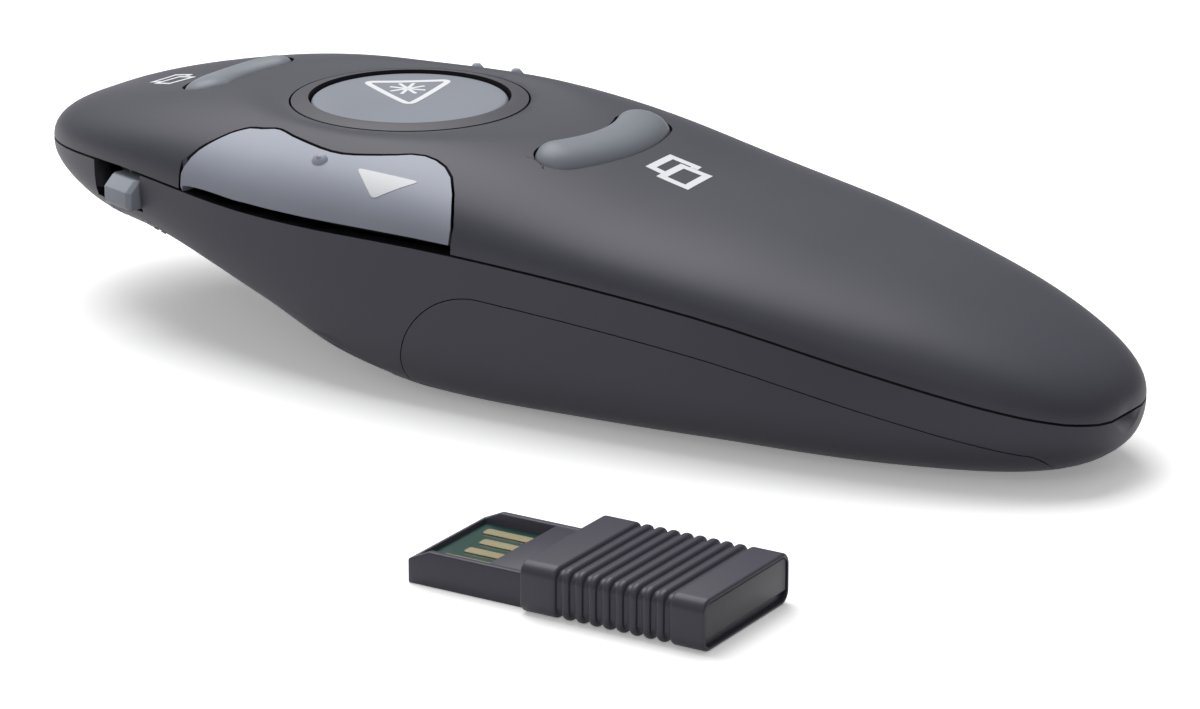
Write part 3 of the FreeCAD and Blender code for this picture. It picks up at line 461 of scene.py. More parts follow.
def closeSlots(points):
    # draws the walls of the two bent slots to the keys that stand in them, and the skin beside them along
    for arc in (arcKeys["rear_key"], arcKeys["front_key"]):
        cad, side = arc["cad"], arc["side"]
        dx, dy = (points[:, 0] - (cad["apex"] - side * cad["bend"])) * side, points[:, 1]
        radius, angle = np.hypot(dx, dy), np.arctan2(dy, dx)
        cadHalf, half = math.asin(cad["reach"] / cad["bend"]), math.asin(arc["reach"] / arc["bend"])
        past = np.maximum(np.abs(angle) - cadHalf, 0) * cad["bend"]
        away = np.maximum(np.hypot(radius - cad["bend"], past), arcKeys["leastAway"])
        cadSlot = cad["halfWidth"] + arcKeys["slotClear"]
        beyond = away - cadSlot
        upper = (np.abs(angle) < arcKeys["slotTurn"]) & (points[:, 2] > form["upperFrom"])
        wall = upper & (np.abs(beyond) < arcKeys["slotBand"])
        skinRound = upper & (beyond >= arcKeys["slotBand"]) & (beyond < arcKeys["slotFade"])
        places = []
        for place, share, halfWidth in ((cad, np.minimum(np.abs(angle), cadHalf), cadSlot),
                                        (arc, half * np.minimum(np.abs(angle) / cadHalf, 1), arc["slot"])):
            wallRadius = place["bend"] + (radius - cad["bend"]) / away * halfWidth
            wallAngle = np.sign(angle) * (share + past / away * halfWidth / place["bend"])
            centre = place["apex"] - side * place["bend"]
            places.append(np.array([centre + side * wallRadius * np.cos(wallAngle),
                                    wallRadius * np.sin(wallAngle)]).T)
        fade = 1 - (beyond - arcKeys["slotBand"]) / (arcKeys["slotFade"] - arcKeys["slotBand"])
        points[skinRound, :2] += ((places[1] - places[0]) * fade[:, None])[skinRound]
        points[wall, :2] = places[1][wall]


# The front corner of each flank key is rounder than its CAD outline: shares of the half width along x.
# The change fades out over above and before, and over rise from the seam up.

corner = {"from": -33.5, "to": -24.5, "cad": [(-33.5, 0.935), (-31.2, 0.85), (-26.5, 0.716), (-24.0, 0.733)],
          "rounder": [(-33.5, 0.990), (-32.9, 0.960), (-32.2, 0.925), (-31.4, 0.888), (-30.6, 0.852), (-29.6, 0.812),
                      (-28.6, 0.782), (-27.6, 0.759), (-26.6, 0.744), (-25.6, 0.735), (-24.5, 0.7296),
                      (-24.0, 0.733)],
          "above": 0.16, "before": 1.0, "rise": 1.2, "outermost": 0.998}


def roundCorner(points):
    # carries the key's outline outwards near its front corner, in the key and in its opening alike
    x, y, z = points.T
    width = np.maximum(skinAt(x)[0], 1e-6)
    out = np.abs(y) / width
    cad = np.interp(x, *zip(*corner["cad"]))
    moved = np.interp(x, *zip(*corner["rounder"])) - cad
    fade = np.where(out < cad, 1 - (cad - out) / corner["above"], 1)
    beyond = np.clip((1.0 - out) / np.maximum(1.0 - cad, 1e-6), 0, 1)
    along = np.clip(1 - (corner["from"] - x) / corner["before"], 0, 1)
    high = np.clip((z - skinAt(x)[3]) / corner["rise"], 0, 1)
    inside = (x < corner["to"]) & (out < 1.0)
    share = np.clip(fade, 0, 1) * np.where(out > cad, beyond, 1) * along * high * inside
    newOut = np.minimum(out + moved * share, corner["outermost"])
    shifted = share * moved > 0
    fall = crownTop(x, newOut * width) - crownTop(x, y)
    points[shifted, 1] = (np.sign(y) * newOut * width)[shifted]
    points[shifted, 2] += fall[shifted]


def pressCrown(work, normals):
    # lowers the copied skin to the flatter crown, and leans its normals with it
    points = np.array([v.co for v in work.verts]) / mm
    x, y, z = points.T
    upper = z > form["upperFrom"]
    drop = np.where(upper, crownDrop(x, y), 0)
    step = flat["leanStep"]
    leanX = (crownDrop(x + step, y) - crownDrop(x - step, y)) / (2 * step)
    leanY = (crownDrop(x, y + step) - crownDrop(x, y - step)) / (2 * step)
    for k, vertex in enumerate(work.verts):
        if drop[k] > flat["leastDrop"]:
            vertex.co.z -= drop[k] * mm
            if normals[k][2] > flat["leastUp"]:
                lean = Vector((normals[k][0] / normals[k][2] + leanX[k], normals[k][1] / normals[k][2] + leanY[k], 1))
                normals[k] = np.array(lean.normalized())


def narrowFlange(points):
    # draws the ring's hidden flange in under the crown
    low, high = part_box("button_bezel")
    edge = (high[0] - low[0]) / mm / 2
    middle = np.array(flat["centre"])
    away = np.hypot(*(points[:, :2] - middle).T)
    wall = away > edge - flat["flangeBand"]
    points[wall, :2] = middle + (points[wall, :2] - middle) * ((away - flat["flangeInset"]) / away)[wall, None]


def smoothSkin(nodeName, pieceName, body, slot, material):
    work = mergedCopy(nodeName)
    for _ in range(form["passes"]):
        points = np.array([v.co for v in work.verts]) / mm
        near = onSkin(points)[0]
        work.verts.index_update()
        long = [e for e in work.edges if near[e.verts[0].index] and near[e.verts[1].index]
                and e.calc_length() > form["finestEdge"] * mm]
        if not long:
            break
        bmesh.ops.subdivide_edges(work, edges=long, cuts=1, use_grid_fill=True)
        bmesh.ops.triangulate(work, faces=[f for f in work.faces if len(f.verts) > 3])
    points = np.array([v.co for v in work.verts]) / mm
    near = onSkin(points)[0]
    if nodeName in ("top_cover", "next_key", "previous_key"):
        roundCorner(points)
    if nodeName == "button_bezel":
        narrowFlange(points)
    if nodeName == "top_cover":
        closeSlots(points)
    for _ in range(form["passes"]):
        normal, gap = onSkin(points)[1:]
        points[near] += normal[near] * np.clip(gap[near], -form["longestStep"], form["longestStep"])[:, None]
    near, normal, gap = onSkin(points)
    outerGap = np.abs(gap)
    for vertex, point in zip(work.verts, points):
        vertex.co = point * mm
    if nodeName in ("top_cover", "button_bezel"):
        pressCrown(work, normal)
    mesh = meshOf(pieceName, work, form["creaseAngle"])
    faceNormals = np.array([p.normal for p in mesh.polygons])
    loopNormals = [(0, 0, 0)] * len(mesh.loops)
    for polygon, facing in zip(mesh.polygons, faceNormals):
        for loop in polygon.loop_indices:
            vertex = mesh.loops[loop].vertex_index
            if near[vertex] and facing @ normal[vertex] > form["normalWithin"]:
                loopNormals[loop] = tuple(normal[vertex])
    mesh.normals_split_custom_set(loopNormals)
    piece = newPiece(pieceName, mesh, body, material, [nodeName])
    # faces off the outer skin (the walls of seams, slots and recesses, and the shells' insides) take the painted shade
    # material, darker than the plastic they are made of
    if slot in ("housing", "bezel"):
        mesh.materials.append(finishes["paintedGapShade"])
        for polygon, facing in zip(mesh.polygons, faceNormals):
            middle = sum(outerGap[k] for k in polygon.vertices) / len(polygon.vertices)
            lean = sum(facing @ normal[k] for k in polygon.vertices) / len(polygon.vertices)
            atTail = facing[0] > form["tailFacing"] and polygon.center.x > form["tailFrom"] * mm
            outside = middle < form["outerWithin"] and lean > form["outerLean"]
            polygon.material_index = 0 if outside or atTail else 1
    return piece


for nodeName, pieceName, body, slot in [("top_cover", "topShell", "housing", "housing"),
                                        ("bottom_cover", "bottomShell", "housing", "housing"),
                                        ("battery_door", "doorShell", "battery_door", "housing"),
                                        ("button_bezel", "buttonRing", "housing", "bezel"),
                                        ("next_key", "nearKeyCap", "next_key", "key"),
                                        ("previous_key", "farKeyCap", "previous_key", "key")]:
    smoothSkin(nodeName, pieceName, body, slot, finishes[slot])
print("the housing's skin is smooth")


# Meshes built from rings of points, in mm

joinWithin = 0.0000005  # metres


def meshFrom(name, points, faces, crease=40.0):
    mesh = bpy.data.meshes.new(name)
    mesh.from_pydata([Vector(p) * mm for p in points], [], faces)
    work = bmesh.new()
    work.from_mesh(mesh)
    bmesh.ops.remove_doubles(work, verts=work.verts, dist=joinWithin)
    bmesh.ops.recalc_face_normals(work, faces=work.faces)
    work.to_mesh(mesh)
    work.free()
    return smooth(mesh, crease)


def quarterTurn(count, begin=0.0):
    # cosine and sine at even steps over a quarter turn
    turns = [begin + math.pi / 2 * k / count for k in range(count + 1)]
    return [(math.cos(a), math.sin(a)) for a in turns]


def roundedBox(low, high, radius, drawn, steps):
    # outline of a rectangle with round corners, whose centres stay where radius puts them
    (u0, v0), (u1, v1) = low, high
    centres = ((u1 - radius, v1 - radius), (u0 + radius, v1 - radius), (u0 + radius, v0 + radius),
               (u1 - radius, v0 + radius))
    return [(u + drawn * c, v + drawn * s) for k, (u, v) in enumerate(centres)
            for c, s in quarterTurn(steps, math.pi / 2 * k)]


def ringFaces(ringCount, around):
    faces = []
    for i in range(ringCount - 1):
        for k in range(around):
            j = (k + 1) % around
            faces.append((i * around + k, i * around + j, (i + 1) * around + j, (i + 1) * around + k))
    return faces


def lathe(name, profile, centre, around=120):
    points = []
    for radius, z in profile:
        for k in range(around):
            turn = 2 * math.pi * k / around
            points.append((centre[0] + radius * math.cos(turn), centre[1] + radius * math.sin(turn), z))
    return meshFrom(name, points, ringFaces(len(profile), around))


# The round button: a smooth dish inside a rounded rim

button = {"centre": (-19.8, 0.0), "radius": 9.85, "top": 23.88, "dishRadius": 8.9, "dishDepth": 0.28,
          "rim": 0.4, "skirtLow": 20.9, "skin": 1.5, "bossRadius": 3.0, "bossLow": 21.2}


def dishLevel(radius):
    inside = max(1 - (radius / button["dishRadius"]) ** 2, 0)
    return button["top"] - button["dishDepth"] * inside**1.5


def buttonCap():
    profile = [(button["dishRadius"] * k / 16, dishLevel(button["dishRadius"] * k / 16)) for k in range(17)]
    rim, top, radius = button["rim"], button["top"], button["radius"]
    profile += [(radius - rim + rim * s, top - rim + rim * c) for c, s in quarterTurn(8)]
    inner = radius - button["skin"]
    profile += [(radius, button["skirtLow"]), (inner, button["skirtLow"]), (inner, top - button["skin"]),
                (button["bossRadius"], top - button["skin"]), (button["bossRadius"], button["bossLow"]),
                (0, button["bossLow"])]
    mesh = lathe("laserButtonCap", profile, button["centre"])
    newPiece("laserButtonCap", mesh, "laser_button", finishes["button"], ["laser_button"])


buttonCap()


# Arc keys: a bent bar that follows the crown and rounds over its sides and ends

def arcKey(nodeName, pieceName):
    arc = arcKeys[nodeName]
    width = arc["halfWidth"]
    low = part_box(nodeName)[0][2] / mm + arcKeys["flangeLift"]
    flangeTop = low + arcKeys["flangeHeight"]
    flange, longer = arc["slot"] + arcKeys["flange"], arcKeys["flangeLonger"]
    levels = [(0.0, low, 0), (flange, low, longer), (flange, flangeTop, longer), (width, flangeTop, 0)]
    points = []
    for halfWidth, z, past in levels:
        points += [(x, y, z) for x, y in arcOutline(arc, halfWidth, past)]
    count = arcKeys["levels"]
    for k in range(count + 1):
        a = math.pi / 2 * k / count
        inset = width * (1 - math.cos(a) ** (2 / arcKeys["power"]))
        rise = -arcKeys["sunk"] + (arc["proud"] + arcKeys["sunk"]) * math.sin(a) ** (2 / arcKeys["power"])
        if k == count:
            inset = width
        outline = np.array(arcOutline(arc, width - inset))
        heights = skinTop(outline[:, 0], outline[:, 1]) + rise
        points += [(x, y, float(z)) for (x, y), z in zip(outline, heights)]
    around = len(points) // (len(levels) + count + 1)
    mesh = meshFrom(pieceName, points, ringFaces(len(levels) + count + 1, around), arcKeys["crease"])
    newPiece(pieceName, mesh, nodeName, finishes["arcKey"], [nodeName])


arcKey("rear_key", "rearArcKey")
arcKey("front_key", "frontArcKey")
print("button and arc keys are made")


# The power slide's knob, its edges rounded over

knob = {"edge": 0.28, "segments": 4, "flatBelow": 2.0, "sharpAbove": 25.0, "crease": 40.0}


def powerKnob():
    work = mergedCopy("power_knob")
    level = [e for e in work.edges if len(e.link_faces) == 2 and e.calc_face_angle(0) < math.radians(knob["flatBelow"])]
    bmesh.ops.dissolve_edges(work, edges=level, use_verts=True)
    roundEdges(work, sharpEdges(work, knob["sharpAbove"]), knob["edge"], knob["segments"])
    bmesh.ops.triangulate(work, faces=[f for f in work.faces if len(f.verts) > 4])
    mesh = meshOf("powerKnob", work, knob["crease"])
    newPiece("powerKnob", mesh, "power_knob", finishes["knob"], ["power_knob"])


powerKnob()
print("power knob is made")


# Raised marks to feel for on the flank keys, over the small cones of the CAD

bumps = {"nearKeyDash": ("next_key", [(-17.4, -0.85)], (0.95, 0.6), 0.5),
         "farKeyDots": ("previous_key", [(-23.8, 0.83), (-19.0, 0.83)], (0.8, 0.8), 0.84)}
bumpForm = {"around": 28, "rings": 9, "foot": 0.25, "side": 0.8}


def raisedMarks(name):
    # place is x and the share of the half width, radii are along and across
    body, places, radii, height = bumps[name]
    around, rings, foot = bumpForm["around"], bumpForm["rings"], bumpForm["foot"]
    points, faces = [], []
    for x, share in places:
        y = share * float(skinAt(x)[0])
        base = len(points)
        for r in range(rings + 1):
            a = math.pi / 2 * r / rings
            out, up = math.cos(a) ** bumpForm["side"], math.sin(a)
            for k in range(around):
                turn = 2 * math.pi * k / around
                px, py = x + radii[0] * out * math.cos(turn), y + radii[1] * out * math.sin(turn)
                points.append((px, py, crownLevel(px, py) - foot + (height + foot) * up))
        faces += [tuple(base + k for k in face) for face in ringFaces(rings + 1, around)]
        faces.append(tuple(base + k for k in range(around))[::-1])
    newPiece(name, meshFrom(name, points, faces), body, finishes["key"])


for name in bumps:
    raisedMarks(name)


# White prints: thin shapes laid on the surface that carries them

prints = {"proud": 0.035, "sunk": 0.05, "step": 0.35, "fillRings": 8, "crease": 30.0, "leanStep": 0.1, "passes": 12,
          "leastMitre": 0.5}


def ontoSkin(points, facing, level=None):
    # moves points along facing until they lie on the skin, or on the button's dish
    points = np.array(points, float)
    if level is not None:
        s = prints["leanStep"]
        laid = np.array([(x, y, level(x, y)) for x, y, z in points])
        lean = [((level(x - s, y) - level(x + s, y)) / (2 * s), (level(x, y - s) - level(x, y + s)) / (2 * s), 1)
                for x, y, z in points]
        return laid, np.array([tuple(Vector(v).normalized()) for v in lean])
    for _ in range(prints["passes"]):
        slope = skinSlope(points)
        rate = slope @ facing
        points += np.outer((1 - skinLevel(points)) / np.where(np.abs(rate) < 1e-6, 1e-6, rate), facing)
    slope = skinSlope(points)
    return points, slope / np.linalg.norm(slope, axis=1)[:, None]


def densePath(path, closed, step):
    ends = path + path[:1] if closed else path
    dense = []
    for (x0, y0), (x1, y1) in zip(ends, ends[1:]):
        count = max(int(math.hypot(x1 - x0, y1 - y0) / step), 1)
        dense += [(x0 + (x1 - x0) * k / count, y0 + (y1 - y0) * k / count) for k in range(count)]
    return dense if closed else dense + path[-1:]


def roundedPath(corners, radius, steps=5):
    # closed outline with each corner rounded
    path = []
    count = len(corners)
    for k in range(count):
        before, here, after = (Vector(corners[(k + s) % count]) for s in (-1, 0, 1))
        a, b = (before - here).normalized(), (after - here).normalized()
        start, end = here + a * radius, here + b * radius
        for s in range(steps + 1):
            t = s / steps
            path.append(tuple(start * (1 - t) ** 2 + here * 2 * t * (1 - t) + end * t**2))
    return path


def rails(path, width, closed):
    # the two sides of a stroke, mitred
    left, right = [], []
    count = len(path)
    for k in range(count):
        here = Vector(path[k])
        before = Vector(path[(k - 1) % count]) if closed or k > 0 else None
        after = Vector(path[(k + 1) % count]) if closed or k < count - 1 else None
        runs = [v.normalized() for v in ((here - before) if before else None, (after - here) if after else None)
                if v is not None and v.length > 1e-9]
        normal = sum((Vector((-r.y, r.x)) for r in runs), Vector((0, 0))).normalized()
        spread = max(abs(normal.dot(Vector((-runs[0].y, runs[0].x)))), prints["leastMitre"])
        left.append(tuple(here + normal * width / 2 / spread))
        right.append(tuple(here - normal * width / 2 / spread))
    return left, right


def printMesh(name, origin, across, along, strokes=(), fills=(), level=None):
    # strokes are (path, width, closed), fills are closed outlines, in mm on the plane through origin
    origin, across, along = Vector(origin), Vector(across).normalized(), Vector(along).normalized()
    facing = np.array(across.cross(along).normalized())
    flats, faces = [], []

    def add(points, quads):
        base = len(flats)
        flats.extend(points)
        faces.extend([tuple(base + k for k in quad) for quad in quads])

    for path, width, closed in strokes:
        dense = densePath(path, closed, prints["step"])
        left, right = rails(dense, width, closed)
        count = len(dense)
        quads = [(k, (k + 1) % count, count + (k + 1) % count, count + k)
                 for k in range(count if closed else count - 1)]
        add(left + right, quads)
    for outline in fills:
        dense = densePath(outline, True, prints["step"])
        count = len(dense)
        middle = Vector((sum(p[0] for p in dense) / count, sum(p[1] for p in dense) / count))
        rings, points = prints["fillRings"], []
        for r in range(rings):
            points += [tuple(middle + (Vector(p) - middle) * (1 - r / rings)) for p in dense]
        points.append(tuple(middle))
        quads = ringFaces(rings, count)
        last = (rings - 1) * count
        quads += [(last + k, last + (k + 1) % count, rings * count) for k in range(count)]
        add(points, quads)
    places = [tuple(origin + across * u + along * v) for u, v in flats]
    laid, normals = ontoSkin(places, facing, level)
    work = bmesh.new()
    verts = [work.verts.new(Vector(p + n * prints["proud"]) * mm) for p, n in zip(laid, normals)]
    for face in faces:
        work.faces.new([verts[k] for k in face])
    bmesh.ops.recalc_face_normals(work, faces=work.faces)
    work.normal_update()
    if sum(f.normal.dot(Vector(facing)) for f in work.faces) < 0:
        bmesh.ops.reverse_faces(work, faces=work.faces)
    bmesh.ops.solidify(work, geom=work.faces[:], thickness=(prints["proud"] + prints["sunk"]) * mm)
    return meshOf(name, work, prints["crease"])


def addPrint(name, body, finish="print", **shape):
    mesh = printMesh(name, **shape)
    newPiece(name, mesh, body, finishes[finish])


def onPlan(x, y):
    return (x, y, crownLevel(x, y))


# forward triangle on the near key
triangle = {"corners": [(-12.83, -18.09, 22.08), (-5.60, -17.82, 21.79), (-9.53, -20.15, 20.00)], "round": 0.6}


def forwardTriangle():
    a, b, c = (Vector(p) for p in triangle["corners"])
    across = (b - a).normalized()
    out = (b - a).cross(c - a).normalized()
    if out.y > 0:
        out = -out
    along = out.cross(across)
    corners = [((p - a).dot(across), (p - a).dot(along)) for p in (a, b, c)]
    addPrint("forwardTriangle", "next_key", origin=tuple(a), across=tuple(across), along=tuple(along),
             fills=[roundedPath(corners, triangle["round"])])


forwardTriangle()


# two overlapping windows, behind the rear arc key and ahead of the front one: outlines in plan
windows = {"rearWindows": {"stroke": 0.8, "front": [(12.3, -3.1), (15.2, -3.2), (14.9, 0.9), (12.1, 0.8)],
                           "back": [(11.9, -2.2), (10.4, -2.1), (10.2, 1.8), (13.0, 1.9), (13.1, 1.3)]},
           "frontWindows": {"stroke": 0.5, "front": [(-49.1, -3.9), (-47.0, -4.4), (-46.7, -1.0), (-48.8, -0.6)],
                            "back": [(-49.2, -3.2), (-50.4, -3.0), (-50.2, 0.5), (-48.1, 0.3), (-48.0, -0.3)]}}


def windowsIcon(name):
    icon = windows[name]
    x, y = icon["front"][0]
    front, back = ([(u - x, v - y) for u, v in icon[key]] for key in ("front", "back"))
    addPrint(name, "housing", origin=onPlan(x, y), across=(1, 0, 0), along=(0, 1, 0), level=crownLevel,
             strokes=[(front, icon["stroke"], True), (back, icon["stroke"], False)])


for name in windows:
    windowsIcon(name)


# generic laser sign on the button: a rounded triangle with a burst of rays
laserSign = {"corners": [(-27.3, 2.5), (-20.5, 7.9), (-19.0, -1.2)], "round": 1.1, "stroke": 0.66,
             "rays": 8, "rayTurn": 0.3, "middle": (-22.5, 3.3), "rayLength": 1.9, "rayStroke": 0.38}


def laserSignPrint():
    corners = laserSign["corners"]
    middle = Vector(laserSign["middle"])
    strokes = [(roundedPath(corners, laserSign["round"]), laserSign["stroke"], True)]
    for k in range(laserSign["rays"] // 2):
        a = math.pi * 2 * k / laserSign["rays"] + laserSign["rayTurn"]
        reach = Vector((math.cos(a), math.sin(a))) * laserSign["rayLength"]
        strokes.append(([tuple(middle - reach), tuple(middle + reach)], laserSign["rayStroke"], False))
    cx, cy = button["centre"]
    addPrint("laserSign", "laser_button", origin=(0, 0, button["top"]), across=(1, 0, 0), along=(0, 1, 0),
             strokes=strokes, level=lambda x, y: dishLevel(math.hypot(x - cx, y - cy)))


laserSignPrint()


# ON and OFF beside the power slide
switchPrint = {"height": 1.15, "width": 0.7, "stroke": 0.2, "gap": 0.36,
               "words": [("onPrint", "ON", -45.4, 11.9), ("offPrint", "OFF", -38.7, 11.4)]}
letters = {"O": [([(0, 0), (1, 0), (1, 1), (0, 1)], True)], "N": [([(0, 0), (0, 1), (1, 0), (1, 1)], False)],
           "F": [([(0, 0), (0, 1), (1, 1)], False), ([(0, 0.5), (0.8, 0.5)], False)]}


def flankWord(name, word, x, z):
    y = -float(skinSide(np.array([x]), np.array([z]))[0])
    out = Vector(skinSlope(np.array([(x, y, z)]))[0]).normalized()
    across = (Vector((1, 0, 0)) - out * out.x).normalized()
    along = out.cross(across)
    wide, tall, gap = switchPrint["width"], switchPrint["height"], switchPrint["gap"]
    total = len(word) * wide + (len(word) - 1) * gap
    strokes = []
    for k, letter in enumerate(word):
        left = -total / 2 + k * (wide + gap)
        for path, closed in letters[letter]:
            strokes.append(([(left + u * wide, (v - 0.5) * tall) for u, v in path], switchPrint["stroke"], closed))
    addPrint(name, "housing", "greyPrint", origin=(x, y, z), across=tuple(across), along=tuple(along),
             strokes=strokes)


for word in switchPrint["words"]:
    flankWord(*word)
print("prints are laid on")


# The receiver, built along x from its plug and turned into place in its mesh

receiver = {"place": (22.2, -52.3), "turn": 2.54, "length": 30.4, "gripWidth": 14.6, "gripHeight": 4.7,
            "corner": 1.15, "edge": 0.28, "plugLength": 12.2, "plugWidth": 12.1, "plugHeight": 3.2, "wall": 0.7,
            "floor": 1.1, "bevelHeight": 1.0, "bevelLength": 2.2, "plugEdge": 0.14, "grooveStart": 3.6,
            "grooveCount": 9, "pitch": 1.33, "grooveWidth": 0.55, "grooveDepth": 0.36, "ribTurn": 0.3,
            "recess": 0.5, "rim": 0.34, "coverLength": 4.2, "coverLow": 2.5, "coverEdge": 0.06, "plateGap": 0.75,
            "plateSunk": 0.12, "plateEdge": 0.22, "crease": 38.0, "cornerShare": 0.6, "leastCorner": 0.2,
            "cornerSteps": 7, "grooveEdge": 0.03, "grooveSlope": 0.10, "rimEdge": 0.06, "sharpAbove": 20.0,
            "overlap": 0.1, "clear": 0.04}
ribs = {"crease": 35.0, "mergeWithin": 0.000001}


def turnReceiver(mesh):
    place = Matrix.Translation((receiver["place"][0] * mm, receiver["place"][1] * mm, 0))
    mesh.transform(place @ Matrix.Rotation(math.radians(receiver["turn"]), 4, "Z"))


def gripSection(x, inset):
    # rounded rectangle across the grip, drawn in by inset
    half, low, high = receiver["gripWidth"] / 2 - inset, inset, receiver["gripHeight"] - inset
    radius = max(receiver["corner"] - inset * receiver["cornerShare"], receiver["leastCorner"])
    return [(x, y, z) for y, z in roundedBox((-half, low), (half, high), radius, radius, receiver["cornerSteps"])]


def gripMesh(name, stations, capStart=False, capEnd=False):
    points = []
    for x, inset in stations:
        points += gripSection(x, inset)
    around = len(points) // len(stations)
    faces = ringFaces(len(stations), around)
    if capStart:
        faces.append(tuple(range(around))[::-1])
    if capEnd:
        faces.append(tuple(range(len(points) - around, len(points))))
    return meshFrom(name, points, faces, ribs["crease"])


def roundedEnd(x, sign):
    # stations of a small rounding that ends at x
    edge = receiver["edge"]
    return [(x - sign * edge * (1 - s), edge * (1 - c)) for c, s in quarterTurn(5)]


def makeRibTree():
    # joins a row of ribs, an instance at each point of a line, to the piece's own mesh
    tree = bpy.data.node_groups.new("ribRow", "GeometryNodeTree")
    tree.interface.new_socket("Geometry", in_out="INPUT", socket_type="NodeSocketGeometry")
    for label, kind in (("Rib", "NodeSocketObject"), ("Count", "NodeSocketInt"), ("First", "NodeSocketVector"),
                        ("Step", "NodeSocketVector"), ("Outer Shift", "NodeSocketVector"),
                        ("Finish", "NodeSocketMaterial")):
        tree.interface.new_socket(label, in_out="INPUT", socket_type=kind)
    tree.interface.new_socket("Geometry", in_out="OUTPUT", socket_type="NodeSocketGeometry")
    start, end = (tree.nodes.new(kind) for kind in ("NodeGroupInput", "NodeGroupOutput"))
    given = start.outputs

    def add(kind, inputs, **settings):
        return addNode(tree, kind, inputs, **settings).outputs

    line = add("GeometryNodeMeshLine", {"Count": given["Count"], "Start Location": given["First"],
                                        "Offset": given["Step"]}, mode="OFFSET")
    index = add("GeometryNodeInputIndex", {})[0]
    last = mathNode(tree, "SUBTRACT", given["Count"], 1)
    atEnds = [add("ShaderNodeMath", {0: index, 1: place, 2: 0.1}, operation="COMPARE")[0] for place in (0, last)]
    outer = add("ShaderNodeVectorMath", {0: given["Outer Shift"], "Scale": mathNode(tree, "MAXIMUM", *atEnds)},
                operation="SCALE")
    shift = add("GeometryNodeSetPosition", {"Geometry": line["Mesh"], "Offset": outer[0]})
    info = add("GeometryNodeObjectInfo", {"Object": given["Rib"]})
    row = add("GeometryNodeInstanceOnPoints", {"Points": shift["Geometry"], "Instance": info["Geometry"]})
    real = add("GeometryNodeRealizeInstances", {"Geometry": row["Instances"]})
    join = addNode(tree, "GeometryNodeJoinGeometry", {0: given["Geometry"]})
    tree.links.new(real["Geometry"], join.inputs[0])
    merge = add("GeometryNodeMergeByDistance", {"Geometry": join.outputs[0], "Distance": ribs["mergeWithin"]})
    paint = add("GeometryNodeSetMaterial", {"Geometry": merge["Geometry"], "Material": given["Finish"]})
    tree.links.new(paint["Geometry"], end.inputs[0])
    return tree


ribTree = makeRibTree()


def rowMesh(name, base, rib, count, first, step, finish, outerShift=(0, 0, 0)):
    # runs the rib tree over a base mesh and gives back a plain mesh
    ribObject = bpy.data.objects.new(name + "Rib", rib)
    carrier = bpy.data.objects.new(name + "Carrier", base)
    for piece in (ribObject, carrier):
        scene.collection.objects.link(piece)
    modifier = carrier.modifiers.new("ribs", "NODES")
    modifier.node_group = ribTree
    sockets = {item.name: item.identifier for item in ribTree.interface.items_tree
               if item.item_type == "SOCKET" and item.in_out == "INPUT"}
    for label, value in (("Rib", ribObject), ("Count", count), ("First", [v * mm for v in first]),
                         ("Step", [v * mm for v in step]), ("Outer Shift", [v * mm for v in outerShift]),
                         ("Finish", finish)):
        modifier[sockets[label]] = value
    bpy.context.view_layer.update()
    made = carrier.evaluated_get(bpy.context.evaluated_depsgraph_get())
    mesh = bpy.data.meshes.new_from_object(made)
    carrier.modifiers.remove(modifier)
    bpy.data.objects.remove(carrier)
    bpy.data.objects.remove(ribObject)
    mesh.name = name
    return smooth(mesh, ribs["crease"])


def receiverGrip():
    r = receiver
    groove = [(0.0, 0.0)]
    side = (r["pitch"] - r["grooveWidth"]) / 2
    depth, turn = r["grooveDepth"], r["ribTurn"]
    groove += [(side - turn + turn * s, turn * (1 - c)) for c, s in quarterTurn(4)]
    groove += [(side + r["grooveEdge"], depth - r["grooveEdge"]), (side + r["grooveSlope"], depth)]
    groove += [(r["pitch"] - x, inset) for x, inset in reversed(groove)]
    rib = gripMesh("gripRib", groove)
    ribStart = r["plugLength"] + r["grooveStart"] - side
    ribEnd = ribStart + r["grooveCount"] * r["pitch"]
    front = gripMesh("gripFront", roundedEnd(r["plugLength"], -1)[::-1] + [(ribStart, 0)], capStart=True)
    rear = gripMesh("gripRear", [(ribEnd, 0)] + roundedEnd(r["length"], 1)
                    + [(r["length"], r["rim"] - r["rimEdge"]), (r["length"] - r["rimEdge"], r["rim"]),
                       (r["length"] - r["recess"], r["rim"])], capEnd=True)
    work = bmesh.new()
    work.from_mesh(front)
    work.from_mesh(rear)
    base = bpy.data.meshes.new("gripBase")
    work.to_mesh(base)
    work.free()
    return rowMesh("receiverGrip", base, rib, r["grooveCount"], (ribStart, 0, 0), (r["pitch"], 0, 0),
                   finishes["receiver"])


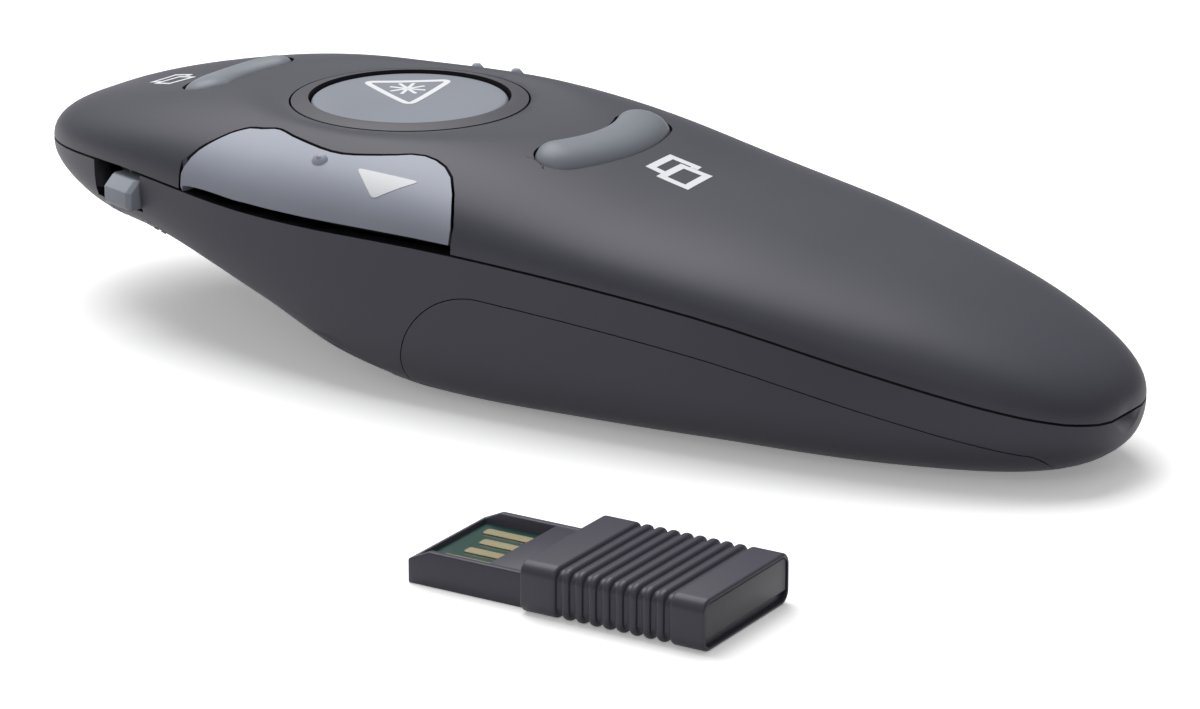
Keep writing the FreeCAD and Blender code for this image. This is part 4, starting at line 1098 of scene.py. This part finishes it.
def receiverPlug():
    # open tray whose front slopes down, its rim and corners slightly rounded
    r = receiver
    half, wall = r["plugWidth"] / 2, r["wall"]
    stations = [0.0, wall, r["bevelLength"], r["plugLength"] + 2 * r["overlap"]]
    rise = [r["plugHeight"] - r["bevelHeight"] * max(1 - x / r["bevelLength"], 0) for x in stations]
    work = bmesh.new()

    def ring(y, heights):
        return [work.verts.new(Vector((x, y, z)) * mm) for x, z in zip(stations, heights)]

    def strip(first, second, start):
        for i in range(start, 3):
            work.faces.new((first[i], first[i + 1], second[i + 1], second[i]))

    sides = {}
    for s in (-1, 1):
        sides[s] = {"low": ring(s * half, [0] * 4), "top": ring(s * half, rise),
                    "inTop": ring(s * (half - wall), rise),
                    "inLow": ring(s * (half - wall), [r["floor"]] * 4)}
        for first, second, start in (("low", "top", 0), ("top", "inTop", 0), ("inTop", "inLow", 1)):
            strip(sides[s][first], sides[s][second], start)
    for layer, start in (("low", 0), ("inLow", 1)):
        strip(sides[-1][layer], sides[1][layer], start)
    work.faces.new([sides[s]["inTop"][i] for s, i in ((-1, 0), (-1, 1), (1, 1), (1, 0))])
    work.faces.new([sides[-1]["inTop"][1], sides[-1]["inLow"][1], sides[1]["inLow"][1], sides[1]["inTop"][1]])
    work.faces.new([sides[-1]["low"][0], sides[1]["low"][0], sides[1]["top"][0], sides[1]["inTop"][0],
                    sides[-1]["inTop"][0], sides[-1]["top"][0]])
    for s in (-1, 1):
        work.verts.remove(sides[s]["inLow"][0])
    bmesh.ops.recalc_face_normals(work, faces=work.faces)
    roundEdges(work, sharpEdges(work, r["sharpAbove"]), r["plugEdge"])
    return work


def receiverShell():
    work = receiverPlug()
    work.from_mesh(receiverGrip())
    work.from_mesh(receiverCover())
    mesh = meshOf("receiverShell", work, receiver["crease"])
    turnReceiver(mesh)
    newPiece("receiverShell", mesh, "receiver", finishes["receiver"], ["receiver_shell"])


def slabMesh(name, low, high, edge):
    # block with its edges rounded over
    work = bmesh.new()
    bmesh.ops.create_cube(work, size=1)
    for vertex in work.verts:
        vertex.co = Vector([(a if c < 0 else b) * mm for c, a, b in zip(vertex.co, low, high)])
    roundEdges(work, work.edges[:], edge)
    return meshOf(name, work, receiver["crease"])


def receiverCover():
    # closes the tray's top between its window and the grip
    r = receiver
    half = r["plugWidth"] / 2 - r["wall"] + r["overlap"]
    return slabMesh("receiverCover", (r["plugLength"] - r["coverLength"], -half, r["coverLow"]),
                    (r["plugLength"] + 2 * r["overlap"], half, r["plugHeight"] - r["clear"] / 2), r["coverEdge"])


def receiverEndPlate():
    # end face nearly flush with the rim, open as a dark slot along its lower edge
    r = receiver
    half, x = r["gripWidth"] / 2 - r["rim"] - r["clear"], r["length"] - r["plateSunk"]
    low, high = r["rim"] + r["plateGap"], r["gripHeight"] - r["rim"] - r["clear"]
    mesh = slabMesh("receiverEndPlate", (r["length"] - r["recess"] - r["overlap"], -half, low), (x, half, high),
                    r["plateEdge"])
    turnReceiver(mesh)
    newPiece("receiverEndPlate", mesh, "receiver", finishes["endPlate"], ["receiver_end_plate"])


receiverShell()
receiverEndPlate()

strips = {"length": 7.2, "width": 1.2, "height": 0.12, "end": 0.3, "edge": 0.04, "pitch": 2.35, "count": 4,
          "top": 2.0, "outerShift": -1.1, "start": 2.9}


def stripBlank():
    # one contact strip with rounded ends and a softened upper edge
    half, length, end, edge = strips["width"] / 2, strips["length"], strips["end"], strips["edge"]
    levels = [(0.0, -edge / 2), (0.0, strips["height"] - edge), (edge, strips["height"])]
    points = []
    for inset, z in levels:
        points += [(x, y, z) for x, y in roundedBox((0, -half), (length, half), end, end - inset, 4)]
    around = len(points) // len(levels)
    faces = ringFaces(len(levels), around)
    faces += [tuple(range(around))[::-1], tuple(range(len(points) - around, len(points)))]
    return meshFrom("stripBlank", points, faces)


def contactStrips():
    base = bpy.data.meshes.new("stripBase")
    first = (strips["start"], -strips["pitch"] * (strips["count"] - 1) / 2, strips["top"])
    mesh = rowMesh("contactStrips", base, stripBlank(), strips["count"], first, (0, strips["pitch"], 0),
                   finishes["gold"], (strips["outerShift"], 0, 0))
    turnReceiver(mesh)
    newPiece("contactStrips", mesh, "receiver", finishes["gold"], ["receiver_contacts"])


contactStrips()
print("receiver is made")
